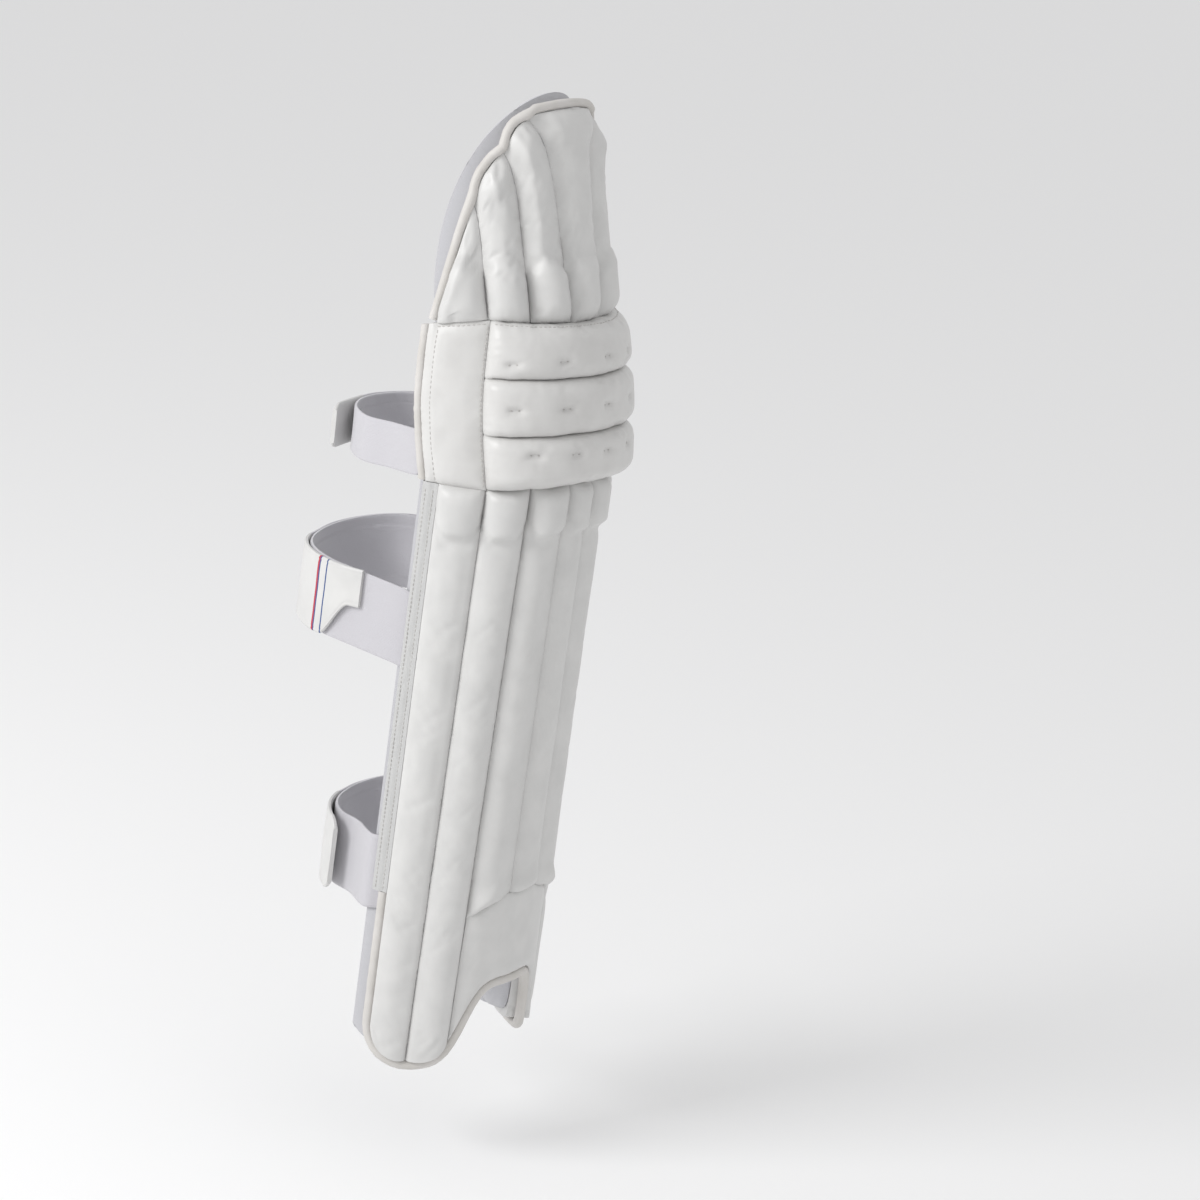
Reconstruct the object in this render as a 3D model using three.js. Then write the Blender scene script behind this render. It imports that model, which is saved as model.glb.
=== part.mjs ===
// A cricket batting pad for the right leg: ribbed shin and top, three knee rolls,
// padded lining, bound edges and three straps with rings. Millimetres, +Z up,
// front towards -Y, outer (lateral) side towards -X, origin on the leg's axis at the calf strap.
import * as THREE from "three";
import { mergeVertices } from "three/addons/utils/BufferGeometryUtils.js";

// Plan section at the stitched valleys: part of an ellipse about the leg's axis
const sectionHalfWidth = 89;
const sectionHalfDepth = 94;
const halfWrap = 113; // front centre line to the rear edge of the shin ribs, along the section
const kneeWrap = 123.5; // the same, to the rear edge of the knee wings at their ends

// Heights above the lowest point of the hem
const kneeBottom = 457;
const rollHeight = 41;
const rollCount = 3;
const kneeTop = kneeBottom + rollCount * rollHeight;
const crownHeight = 145; // the ribbed top above the knee rolls
const crownLiningHeight = 157; // the lining behind it

// The pad is upright to the knee and leans back above it
const topLean = THREE.MathUtils.degToRad(14);
const bendLead = 20; // the bend starts this far below the knee rolls and ends as far above
const bendPivotY = -0.62 * sectionHalfDepth;

// Thicknesses, outwards from the stitched valleys
const shellDepth = 12; // stuffing and backing behind the valleys
const ribCrest = 8;
const wingEdgeCrest = 3;
const endBulge = 5; // the ribs swell this much where they end at the knee rolls
const footBulge = 2; // and this much where they end at the instep
const bulgeLength = 38;
const rollCrestLow = 29.5; // the rolls stand out most at the bottom
const rollCrestTop = 20.5;
const rollEndPower = 7; // how abruptly the rolls drop to the wings
const rollSeamDip = 6; // the seams between the rolls lie this far below their crests
const wingCrest = 5;
const liningThickness = 16;
const crownLiningThickness = 14;
const clearance = 0.4; // between pieces that touch
const pipingGap = 1.4; // between a rounded binding and the ribs that it edges
const seamPinch = 3; // the seams of the knee rolls sink this far where the rolls end

// Hem and instep
const archHeight = 67;
const archHalf = 41.8; // half the width of the arch at half its height
const hemCornerRadius = 35;
const pipingRadius = 4;
const instepTop = 145;
const instepSeamDrop = 18; // how much lower the instep seam is at its ends
const instepCrest = 4;
const kneeSeamSag = 7; // the knee rolls draw together at the front
const wingBow = 8; // the rear edge of a knee wing bows out this far at its middle
const rollBow = 7; // and so does the seam between the wing and the rolls

// Edge bindings
const tapeWidth = 13;
const tapeInner = -7.5;
const tapeOuter = 2.5;
const tapeEdgeShare = 0.35; // the tape's rear edge is this share of its thickness
const tapeStart = 140; // below this height the tape gives way to the hem piping
const kneePipingRadius = 3.5;
const crownBindingRadius = 3.4;
const crownBindingGap = 0.9;
const crownBindingReach = 1.04; // where the binding ends, as a share of the half wrap
const liningOverhang = 9; // the shin lining behind the tape
const kneeLiningMargin = 2; // the knee's lining past the ends of the wings' rear edges
const strapLead = 5; // a strap runs on this far along the section before it turns to the leg

// Straps: webbing, rings and tabs
const webThickness = 2.6;
const layerGap = 0.8;
const tabThickness = 3.6;
const ringBar = 5.5;
const strapTable = {
  knee: { rootHeight: 478, backHeight: 466, width: 34, loopX: -4, loopY: 30, loopRadius: 64, joins: -90 },
  calf: { rootHeight: 337, backHeight: 345, width: 58, loopX: -8, loopY: 45, loopRadius: 71, joins: -80 },
  ankle: { rootHeight: 151, backHeight: 145, width: 58, loopX: 0, loopY: 12, loopRadius: 60, joins: -100 },
};
const tabTable = {
  knee: { start: -172, stop: -138, standOff: 12 },
  calf: { start: -157, stop: -78, standOff: 0 },
  ankle: { start: -165, stop: -108, standOff: 9 },
};
const ringTable = {
  knee: { height: 466, tall: 46, long: 21, reach: 12 },
  calf: { height: 354, tall: 70, long: 23, reach: 22 },
  ankle: { height: 153, tall: 70, long: 21, reach: 12 },
};
const elasticWidth = 26;
const elasticGap = 1.2;
const ringDepth = 0.8 * ringBar;
const turnRadius = Math.hypot(ringBar, ringDepth) / 2 + 2 * clearance + webThickness / 2;
const tabGap = 0.6; // degrees of the loop between the strap's end and its tab
const elasticSpread = 24; // how far apart the calf elastics move between ring and wing, each way

// Seams between the ribs, as shares of the half wrap: at the hem, below the knee rolls,
// above them and at the crown's edge
const seamTable = {
  middle: { foot: 0, knee: 0, thigh: 0, crown: 0 },
  centre: { foot: 0.15, knee: 0.124, thigh: 0.14, crown: 0.36 },
  inner: { foot: 0.478, knee: 0.412, thigh: 0.44, crown: 0.54 },
  outer: { foot: 0.743, knee: 0.7, thigh: 0.715, crown: 0.755 },
  edge: { foot: 1, knee: 1, thigh: 1.035, crown: 1.03 },
};
// Height of the crown's edge along it, as a share of the crown's height
const crownEdgeTable = [
  { share: 0, rise: 1 },
  { share: 0.14, rise: 0.997 },
  { share: 0.36, rise: 0.982 },
  { share: 0.45, rise: 0.925 },
  { share: 0.54, rise: 0.833 },
  { share: 0.67, rise: 0.715 },
  { share: 0.755, rise: 0.605 },
  { share: 0.81, rise: 0.462 },
  { share: 0.936, rise: 0.212 },
  { share: 1.046, rise: 0 },
];
const ribTable = [
  { rib: "inner", from: "centre", to: "inner", crest: 1.15, footed: true },
  { rib: "side", from: "inner", to: "outer", crest: 1, footed: false },
  { rib: "outer", from: "outer", to: "edge", crest: 0.7, footed: false },
];
const sides = [
  { side: "lateral", sign: -1 },
  { side: "medial", sign: 1 },
];

const colours = {
  leather: "#e6e5e2",
  leatherKnee: "#e9e7e1",
  lining: "#d5d4da",
  piping: "#e3e0d9",
  tape: "#e2e2e0",
  webbing: "#d7d5dc",
  elastic: "#dcdad6",
  ring: "#e4e3e0",
};

const lerp = THREE.MathUtils.lerp;
const clamp01 = (value) => THREE.MathUtils.clamp(value, 0, 1);
const smooth = (value) => THREE.MathUtils.smoothstep(value, 0, 1);

// Ellipse of the section, measured by arc length from the front centre line
const sectionStep = THREE.MathUtils.degToRad(0.5);
const sectionArcs = [0];
for (let i = 1; i <= 260; i += 1) {
  const angle = (i - 0.5) * sectionStep;
  const speed = Math.hypot(sectionHalfWidth * Math.cos(angle), sectionHalfDepth * Math.sin(angle));
  sectionArcs.push(sectionArcs[i - 1] + speed * sectionStep);
}

function sectionAngle(arc) {
  const reach = Math.abs(arc);
  let i = 1;
  while (i < sectionArcs.length - 1 && sectionArcs[i] < reach) i += 1;
  const share = (reach - sectionArcs[i - 1]) / (sectionArcs[i] - sectionArcs[i - 1]);
  return Math.sign(arc) * (i - 1 + share) * sectionStep;
}

// Place and outward direction on the section, offset outwards by out
function sectionPoint(arc, out) {
  const angle = sectionAngle(arc);
  const normal = new THREE.Vector2(
    Math.sin(angle) / sectionHalfWidth,
    -Math.cos(angle) / sectionHalfDepth,
  ).normalize();
  return new THREE.Vector2(
    sectionHalfWidth * Math.sin(angle) + out * normal.x,
    -sectionHalfDepth * Math.cos(angle) + out * normal.y,
  );
}

// Spine of the pad: how far it has moved back and up at each height along its face
const spineStep = 4;
const bendStart = kneeBottom - bendLead;
const bendEnd = kneeTop + bendLead;
const leanAt = (height) => topLean * smooth((height - bendStart) / (bendEnd - bendStart));
const spine = [{ back: 0, up: -spineStep }];
while (spine.length * spineStep < kneeTop + crownLiningHeight + 3 * spineStep) {
  const last = spine[spine.length - 1];
  const lean = leanAt((spine.length - 1.5) * spineStep);
  spine.push({ back: last.back + spineStep * Math.sin(lean), up: last.up + spineStep * Math.cos(lean) });
}

// A point of the pad from its place along the section, its height along the face and its offset
function padPoint(arc, height, out) {
  const flat = sectionPoint(arc, out);
  const at = Math.max(0, height / spineStep + 1);
  const i = Math.min(Math.floor(at), spine.length - 2);
  const back = lerp(spine[i].back, spine[i + 1].back, at - i);
  const up = lerp(spine[i].up, spine[i + 1].up, at - i);
  const lean = leanAt(height);
  const depth = flat.y - bendPivotY;
  const y = bendPivotY + back + depth * Math.cos(lean);
  return new THREE.Vector3(flat.x, y, up - depth * Math.sin(lean));
}

// A closed block whose corners and grid are moved by place(across, along, through), each from 0 to 1
function shapedBlock(across, along, through, place) {
  const box = new THREE.BoxGeometry(1, 1, 1, across, along, through);
  box.deleteAttribute("normal");
  box.deleteAttribute("uv");
  const geometry = mergeVertices(box, 1e-4);
  const position = geometry.getAttribute("position");
  for (let i = 0; i < position.count; i += 1) {
    const point = place(position.getX(i) + 0.5, position.getY(i) + 0.5, position.getZ(i) + 0.5);
    position.setXYZ(i, point.x, point.y, point.z);
  }
  return geometry;
}

// A square from -1 to 1 drawn to a disc, for round sections
function disc(p, q) {
  return { p: p * Math.sqrt(1 - (q * q) / 2), q: q * Math.sqrt(1 - (p * p) / 2) };
}

// Faces along the long curved pieces and across the wide ones
const hemSteps = 44;
const bindingSteps = 36;
const crownLiningColumns = 20;
const crownLiningRows = 10;
const shinLiningColumns = 18;
const shinLiningRows = 8;
const frontColumns = 16; // the instep panel and the knee rolls
const ribRows = 14;

const pad = new THREE.Group();

function addPiece(name, geometry, colour, roughness) {
  const material = new THREE.MeshStandardMaterial({ color: colour, roughness, metalness: 0 });
  const mesh = new THREE.Mesh(geometry, material);
  mesh.name = name;
  pad.add(mesh);
  return mesh;
}

// Outer line of the hem, with its arch over the instep and its rounded rear corners
const archPower = 6; // how flat the arch is on top and how steep at its sides
const hemReach = halfWrap + 2 * pipingRadius;
const cornerStart = hemReach - hemCornerRadius;
function hemLine(arc) {
  const reach = Math.abs(arc);
  const arch = archHeight / (1 + (reach / archHalf) ** archPower);
  const turn = Math.min(Math.max(reach - cornerStart, 0), hemCornerRadius * 0.985);
  return arch + hemCornerRadius - Math.sqrt(hemCornerRadius ** 2 - turn ** 2);
}

function hemSlope(arc) {
  const step = 0.5;
  return (hemLine(arc + step) - hemLine(arc - step)) / (2 * step);
}

// Lower edge of the shin pieces: everywhere the piping's width and a gap away from the hem line
function shinFoot(arc) {
  const away = 2 * pipingRadius + pipingGap;
  let foot = 0;
  for (let share = -1; share <= 1.001; share += 0.1) {
    const rise = away * Math.sqrt(Math.max(0, 1 - share * share));
    foot = Math.max(foot, hemLine(arc + share * away) + rise);
  }
  return foot;
}

const instepHalf = halfWrap * seamTable.inner.foot;
const instepSeam = (arc) => instepTop - instepSeamDrop * (arc / instepHalf) ** 2;

const rollHalf = halfWrap * seamTable.outer.knee;
const rollEdge = (share) => rollHalf + rollBow * Math.sin(Math.PI * share);
const sagAt = (arc) => kneeSeamSag * Math.max(0, 1 - (arc / rollHalf) ** 2);
const kneeBottomLine = (arc) => kneeBottom + sagAt(arc);
const kneeTopLine = (arc) => kneeTop - sagAt(arc);

function shinSeamArc(seam, height) {
  const row = seamTable[seam];
  return halfWrap * lerp(row.foot, row.knee, clamp01(height / kneeBottom));
}

// Rounded cross-section of a rib, 0 at its seams and 1 at its crest
const ribFullness = 0.75; // under 1 is fuller than a parabola
const ribProfile = (share) => Math.pow(4 * share * (1 - share), ribFullness);

// Grid lines gather at both ends of a rib, where it swells
const endRows = 0.3; // share of the rows spent on each end
function ribStation(along, foot, top) {
  const ends = Math.min(bulgeLength, (top - foot) / 3);
  if (along < endRows) return foot + (ends * along) / endRows;
  if (along > 1 - endRows) return top - (ends * (1 - along)) / endRows;
  return lerp(foot + ends, top - ends, (along - endRows) / (1 - 2 * endRows));
}

// Extra crest near the knee, and the pinched, then swollen end at the instep seam
const swellAtKnee = (fromTop) => endBulge * (1 - smooth((fromTop - 0.75) / 0.25));
const swellAtInstep = (fromFoot) => footBulge * (1 - smooth((fromFoot - 0.3) / 0.7));
const pinchAtInstep = (fromFoot) => smooth(0.45 + 3 * fromFoot);

function shinRib(row, sign) {
  const mirrored = sign < 0;
  return shapedBlock(5, ribRows, 1, (across, along, through) => {
    const share = mirrored ? 1 - across : across;
    const footArc = lerp(shinSeamArc(row.from, 0), shinSeamArc(row.to, 0), share);
    const footEdge = row.footed ? instepSeam(footArc) + clearance : shinFoot(footArc);
    const topArc = lerp(shinSeamArc(row.from, kneeBottom), shinSeamArc(row.to, kneeBottom), share);
    const topEdge = kneeBottomLine(topArc) - clearance;
    const height = ribStation(along, footEdge, topEdge);
    const from = shinSeamArc(row.from, height) + clearance;
    const to = shinSeamArc(row.to, height) - clearance;
    const arc = lerp(from, to, share);
    const fromTop = (topEdge - height) / bulgeLength;
    const fromFoot = (height - footEdge) / bulgeLength;
    let crest = ribCrest * row.crest + swellAtKnee(fromTop);
    if (row.footed) crest = (crest + swellAtInstep(fromFoot)) * pinchAtInstep(fromFoot);
    const edge = row.to === "edge" ? wingEdgeCrest * share : 0;
    const out = through > 0.5 ? crest * ribProfile(share) + edge : -shellDepth;
    return padPoint(sign * arc, height, out);
  });
}

function centreRib() {
  return shapedBlock(6, ribRows, 1, (across, along, through) => {
    const footArc = lerp(-1, 1, across) * shinSeamArc("centre", 0);
    const footEdge = instepSeam(footArc) + clearance;
    const topArc = lerp(-1, 1, across) * shinSeamArc("centre", kneeBottom);
    const topEdge = kneeBottomLine(topArc) - clearance;
    const height = ribStation(along, footEdge, topEdge);
    const half = shinSeamArc("centre", height) - clearance;
    const fromTop = (topEdge - height) / bulgeLength;
    const fromFoot = (height - footEdge) / bulgeLength;
    const full = ribCrest + swellAtKnee(fromTop) + swellAtInstep(fromFoot);
    const crest = full * pinchAtInstep(fromFoot);
    const out = through > 0.5 ? crest * ribProfile(across) : -shellDepth;
    return padPoint(lerp(-half, half, across), height, out);
  });
}

addPiece("shin_rib_centre", centreRib(), colours.leather, 0.5);
for (const { side, sign } of sides) {
  for (const row of ribTable) {
    addPiece(`shin_rib_${row.rib}_${side}`, shinRib(row, sign), colours.leather, 0.5);
  }
}

// Plain panel over the instep, between the side ribs
function instepPanel() {
  return shapedBlock(frontColumns, 6, 1, (across, along, through) => {
    const share = lerp(-1, 1, across);
    const footArc = share * (instepHalf - clearance);
    const foot = shinFoot(footArc);
    const top = instepSeam(footArc) - clearance;
    const height = lerp(foot, top, along);
    const half = shinSeamArc("inner", height) - clearance;
    const rim = smooth((1 - Math.abs(share)) * 5);
    const out = through > 0.5 ? instepCrest * (0.35 + 0.65 * rim) : -shellDepth;
    return padPoint(share * half, height, out);
  });
}
addPiece("instep_panel", instepPanel(), colours.leather, 0.5);

// Padded lining of the shin, behind the ribs and out past the tape
const liningReach = halfWrap + tapeWidth + liningOverhang;
function shinLining() {
  return shapedBlock(shinLiningColumns, shinLiningRows, 1, (across, along, through) => {
    const share = lerp(-1, 1, across);
    const arc = share * liningReach;
    const foot = hemLine(arc * (halfWrap / liningReach)) + 3 * pipingRadius;
    const top = kneeBottom - 2 * clearance;
    const height = lerp(foot, top, along);
    const rim = smooth((1 - Math.abs(share)) * 12);
    const thickness = liningThickness * (0.45 + 0.55 * rim);
    return padPoint(arc, height, -shellDepth - clearance - thickness * (1 - through));
  });
}
addPiece("shin_lining", shinLining(), colours.lining, 0.85);

// Knee rolls
function kneeRoll(index) {
  return shapedBlock(frontColumns, 5, 1, (across, along, through) => {
    const share = lerp(-1, 1, across);
    const arc = share * (rollEdge((index + along) / rollCount) - clearance);
    const lower = kneeBottomLine(arc) + clearance;
    const upper = kneeTopLine(arc) - clearance;
    const pitch = (upper - lower + clearance) / rollCount;
    const height = lower + index * pitch + along * (pitch - clearance);
    const body = Math.sqrt(Math.max(0, 1 - Math.abs(share) ** rollEndPower));
    const nearSeam = Math.abs(2 * along - 1) ** 3;
    const crest = lerp(rollCrestLow, rollCrestTop, (index + along) / rollCount);
    const full = crest - rollSeamDip * nearSeam;
    const end = wingCrest - seamPinch * nearSeam;
    const out = through > 0.5 ? lerp(end, full, body) : -shellDepth;
    return padPoint(arc, height, out);
  });
}
["lower", "middle", "upper"].forEach((name, index) => {
  addPiece(`knee_roll_${name}`, kneeRoll(index), colours.leatherKnee, 0.48);
});

// Flat wings beside the knee rolls, with piping on their rear edges
const wingEdge = (along) => kneeWrap + wingBow * Math.sin(Math.PI * along);
function kneeWing(sign) {
  return shapedBlock(5, 7, 1, (across, along, through) => {
    const share = sign < 0 ? 1 - across : across;
    const arc = lerp(rollEdge(along) + clearance, wingEdge(along) - clearance, share);
    const height = lerp(kneeBottom + clearance, kneeTop - clearance, along);
    const rim = smooth(4 * share) * smooth(4 * (1 - share) + 0.3);
    const out = through > 0.5 ? wingCrest * (0.5 + 0.5 * rim) : -shellDepth;
    return padPoint(sign * arc, height, out);
  });
}

function kneePiping(sign) {
  return shapedBlock(2, 8, 2, (across, along, through) => {
    const round = disc(2 * across - 1, 2 * through - 1);
    const arc = wingEdge(along) + kneePipingRadius * (1 + sign * round.p);
    const height = lerp(kneeBottom + clearance, kneeTop - clearance, along);
    return padPoint(sign * arc, height, -1 + kneePipingRadius * round.q);
  });
}

// Tape that binds the rear edge of the shin
function sideTape(sign) {
  return shapedBlock(3, 8, 1, (across, along, through) => {
    const share = sign < 0 ? 1 - across : across;
    const arc = halfWrap + clearance + share * (tapeWidth - clearance);
    const height = lerp(tapeStart, kneeBottom - clearance, along);
    const middle = (tapeInner + tapeOuter) / 2;
    const half = ((tapeOuter - tapeInner) / 2) * (share > 0.9 ? tapeEdgeShare : 1);
    return padPoint(sign * arc, height, middle + half * (2 * through - 1));
  });
}

for (const { side, sign } of sides) {
  addPiece(`knee_wing_${side}`, kneeWing(sign), colours.leatherKnee, 0.48);
  addPiece(`knee_wing_piping_${side}`, kneePiping(sign), colours.piping, 0.5);
  addPiece(`side_tape_${side}`, sideTape(sign), colours.tape, 0.8);
}

// Hem piping, from one tape down round the hem and up to the other
const hemSideReach = hemReach - pipingRadius;
function hemPath(share) {
  const side = tapeStart - clearance - hemCornerRadius;
  const run = cornerStart + hemCornerRadius;
  const total = side + run;
  const walked = Math.abs(share) * total;
  const sign = Math.sign(share) || 1;
  if (walked > run) {
    return { arc: sign * hemSideReach, height: hemCornerRadius + walked - run, slopeArc: -1, slopeUp: 0 };
  }
  if (walked > cornerStart) {
    const turn = ((walked - cornerStart) / hemCornerRadius) * (Math.PI / 2);
    const radius = hemCornerRadius - pipingRadius;
    return {
      arc: sign * (cornerStart + radius * Math.sin(turn)),
      height: hemCornerRadius - radius * Math.cos(turn) + hemLine(cornerStart),
      slopeArc: -Math.sin(turn),
      slopeUp: Math.cos(turn),
    };
  }
  const slope = hemSlope(walked);
  const length = Math.hypot(1, slope);
  return {
    arc: sign * (walked - (pipingRadius * slope) / length),
    height: hemLine(walked) + pipingRadius / length,
    slopeArc: -slope / length,
    slopeUp: 1 / length,
  };
}

function hemPiping() {
  return shapedBlock(hemSteps, 2, 2, (across, along, through) => {
    const share = lerp(-1, 1, across);
    const sign = Math.sign(share) || 1;
    const at = hemPath(share);
    const round = disc(2 * along - 1, 2 * through - 1);
    const arc = at.arc + sign * at.slopeArc * pipingRadius * round.p;
    const height = at.height + at.slopeUp * pipingRadius * round.p;
    return padPoint(arc, height, -2 + pipingRadius * round.q);
  });
}
addPiece("hem_piping", hemPiping(), colours.piping, 0.5);

// Crown: seven ribs fan up from the knee rolls to the bound edge
const crownShoulder = 1.6; // the middle rib is flat between its shoulders
function crownEdge(share) {
  const reach = Math.abs(share);
  let i = 1;
  while (i < crownEdgeTable.length - 1 && crownEdgeTable[i].share < reach) i += 1;
  const low = crownEdgeTable[i - 1];
  const high = crownEdgeTable[i];
  const part = clamp01((reach - low.share) / (high.share - low.share));
  return crownHeight * lerp(low.rise, high.rise, part);
}

// One column of a crown rib, from its foot on the rolls to the edge of the crown
function crownRib(row, sign) {
  const both = row.from === "middle";
  return shapedBlock(both ? 6 : 5, 8, 1, (across, along, through) => {
    const share = both ? lerp(-1, 1, across) : sign < 0 ? 1 - across : across;
    const from = seamTable[row.from];
    const to = seamTable[row.to];
    const stop = row.to === "edge" ? 0.94 : 1;
    const inset = clearance / halfWrap;
    const ends = both ? [0, to.thigh - inset] : [from.thigh + inset, to.thigh - inset];
    const tips = both ? [0, to.crown - inset] : [from.crown + inset, lerp(from.crown, to.crown, stop)];
    if (!both && stop === 1) tips[1] -= inset;
    const footShare = lerp(ends[0], ends[1], share);
    const tipShare = lerp(tips[0], tips[1], share);
    const foot = kneeTopLine(footShare * halfWrap) + clearance;
    const tip = kneeTop + crownEdge(tipShare) - clearance;
    const run = along < 0.5 ? along * 0.6 : lerp(0.3, 1, 2 * along - 1);
    const height = lerp(foot, tip, run);
    const arc = halfWrap * lerp(footShare, tipShare, run);
    const swell = 1 - smooth((height - foot - 0.5 * bulgeLength) / (0.6 * bulgeLength));
    const pinch = smooth(0.35 + (tip - height) / 14);
    const crest = (ribCrest * row.crest * 0.9 + endBulge * swell) * pinch;
    const profile = both ? Math.min(1, crownShoulder * (1 - Math.abs(share))) : ribProfile(share);
    const edge = row.to === "edge" ? wingEdgeCrest * share : 0;
    const out = through > 0.5 ? crest * profile + edge : -shellDepth;
    return padPoint((both ? 1 : sign) * arc, height, out);
  });
}
addPiece(
  "crown_rib_centre",
  crownRib({ rib: "centre", from: "middle", to: "centre", crest: 1 }, 1),
  colours.leather,
  0.5,
);
for (const { side, sign } of sides) {
  for (const row of ribTable) {
    addPiece(`crown_rib_${row.rib}_${side}`, crownRib(row, sign), colours.leather, 0.5);
  }
}

// Rounded binding over the edge of the crown
function crownBinding() {
  return shapedBlock(bindingSteps, 2, 2, (across, along, through) => {
    const turn = lerp(-1, 1, across) * (Math.PI / 2);
    const share = crownBindingReach * Math.sin(turn);
    const step = 0.004 * Math.cos(turn) + 0.0005;
    const slope = (crownEdge(share + step) - crownEdge(share - step)) / (2 * step * halfWrap);
    const length = Math.hypot(1, slope);
    const round = disc(2 * along - 1, 2 * through - 1);
    const lift = crownBindingRadius * (1 + round.p) + crownBindingGap;
    const arc = share * halfWrap - (slope / length) * lift;
    const height = kneeTop + crownEdge(share) + lift / length;
    return padPoint(arc, height, -1.5 + crownBindingRadius * round.q);
  });
}
addPiece("crown_binding", crownBinding(), colours.piping, 0.55);

// Padded lining behind the knee rolls and the crown
const kneeLiningReach = kneeWrap + kneeLiningMargin;
function kneeLining() {
  return shapedBlock(crownLiningColumns, crownLiningRows, 1, (across, along, through) => {
    const share = Math.sin(lerp(-1, 1, across) * (Math.PI / 2));
    const arc = share * kneeLiningReach;
    const foot = kneeBottom + clearance;
    const top = kneeTop + crownLiningHeight * Math.sqrt(Math.max(0, 1 - share * share));
    const height = lerp(foot, top, along);
    const rim = smooth((1 - Math.abs(share)) * 10) * smooth((1 - along) * 8);
    const thickness = crownLiningThickness * (0.5 + 0.5 * rim);
    return padPoint(arc, height, -shellDepth - clearance - thickness * (1 - through));
  });
}
addPiece("crown_lining", kneeLining(), colours.lining, 0.85);

// Straps

// How far the spine has moved back at a height
function spineBack(height) {
  const at = Math.max(0, height / spineStep + 1);
  const i = Math.min(Math.floor(at), spine.length - 2);
  return lerp(spine[i].back, spine[i + 1].back, at - i);
}

// A band of webbing along a plan curve, upright, with its two edges set along it.
// The grid follows the curve's own points, so that tight turns get short steps.
function band(points, stepsEach, thickness, edges) {
  const curve = new THREE.CatmullRomCurve3(points, false, "centripetal");
  const steps = stepsEach * (points.length - 1);
  const frames = [];
  for (let i = 0; i <= steps; i += 1) {
    const at = curve.getPoint(i / steps);
    const ahead = curve.getTangent(i / steps);
    frames.push({ at, normal: new THREE.Vector3(ahead.y, -ahead.x, 0).normalize() });
  }
  return shapedBlock(1, steps, 1, (across, along, through) => {
    const frame = frames[Math.round(along * steps)];
    const level = edges(along);
    const height = lerp(level.low, level.high, across);
    const offset = thickness * (0.5 - through);
    return new THREE.Vector3(
      frame.at.x + offset * frame.normal.x,
      frame.at.y + offset * frame.normal.y + spineBack(height),
      height,
    );
  });
}

const planPoint = (x, y) => new THREE.Vector3(x, y, 0);
const onLoop = (strap, degrees, radius) => {
  const angle = THREE.MathUtils.degToRad(degrees);
  return planPoint(strap.loopX + radius * Math.sin(angle), strap.loopY - radius * Math.cos(angle));
};

// Webbing leaves the pad between the edge binding and the lining, and passes the lining's edge
const rootOut = -shellDepth + webThickness / 2;
const wingReach = kneeWrap + wingBow + 2 * clearance;
const edgeTable = {
  knee: { start: wingReach, edge: wingReach + strapLead },
  calf: { start: halfWrap + 3 * clearance, edge: liningReach + 1.5 },
  ankle: { start: halfWrap + 3 * clearance, edge: liningReach + 1.5 },
};

function rootPoints(name, sign) {
  const row = edgeTable[name];
  return [0, 0.5, 1].map((share) => {
    const at = sectionPoint(sign * lerp(row.start, row.edge, share), rootOut);
    return planPoint(at.x, at.y);
  });
}

// Plan places of a ring's front and rear bars, on the way from the medial edge to the loop
function ringPlan(name) {
  const strap = strapTable[name];
  const ring = ringTable[name];
  const root = rootPoints(name, 1)[2];
  const target = onLoop(strap, 112, strap.loopRadius + turnRadius - webThickness / 2);
  const ahead = target.sub(root).normalize();
  const front = root.clone().addScaledVector(ahead, ring.reach + ringBar / 2);
  const rear = front.clone().addScaledVector(ahead, ring.long - ringBar);
  return { ahead, front, rear };
}

function roundedFrame(long, tall, radius) {
  const path = new THREE.Path();
  path.moveTo(-long + radius, -tall);
  path.lineTo(long - radius, -tall);
  path.quadraticCurveTo(long, -tall, long, -tall + radius);
  path.lineTo(long, tall - radius);
  path.quadraticCurveTo(long, tall, long - radius, tall);
  path.lineTo(-long + radius, tall);
  path.quadraticCurveTo(-long, tall, -long, tall - radius);
  path.lineTo(-long, -tall + radius);
  path.quadraticCurveTo(-long, -tall, -long + radius, -tall);
  return path;
}

function ringGeometry(name) {
  const ring = ringTable[name];
  const plan = ringPlan(name);
  const halfLong = ring.long / 2;
  const halfTall = ring.tall / 2;
  const outline = new THREE.Shape(roundedFrame(halfLong, halfTall, ringBar).getPoints(3));
  const opening = roundedFrame(halfLong - ringBar, halfTall - ringBar, 0.2 * ringBar);
  outline.holes.push(new THREE.Path(opening.getPoints(2)));
  const geometry = new THREE.ExtrudeGeometry(outline, { depth: ringDepth, bevelEnabled: false });
  geometry.translate(0, 0, -ringDepth / 2);
  const middle = plan.front.clone().add(plan.rear).multiplyScalar(0.5);
  const up = new THREE.Vector3(0, 0, 1);
  const across = new THREE.Vector3().crossVectors(plan.ahead, up);
  geometry.applyMatrix4(new THREE.Matrix4().makeBasis(plan.ahead, up, across));
  geometry.translate(middle.x, middle.y + spineBack(ring.height), ring.height);
  return geometry;
}

// Half turn of webbing round an upright bar, from the leg side to the outer side
function turnPoints(centre, ahead, facing) {
  const outward = planPoint(ahead.y, -ahead.x);
  return [-90, -45, 0, 45, 90].map((degrees) => {
    const angle = THREE.MathUtils.degToRad(degrees);
    return centre
      .clone()
      .addScaledVector(ahead, facing * turnRadius * Math.cos(angle))
      .addScaledVector(outward, turnRadius * Math.sin(angle));
  });
}

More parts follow.
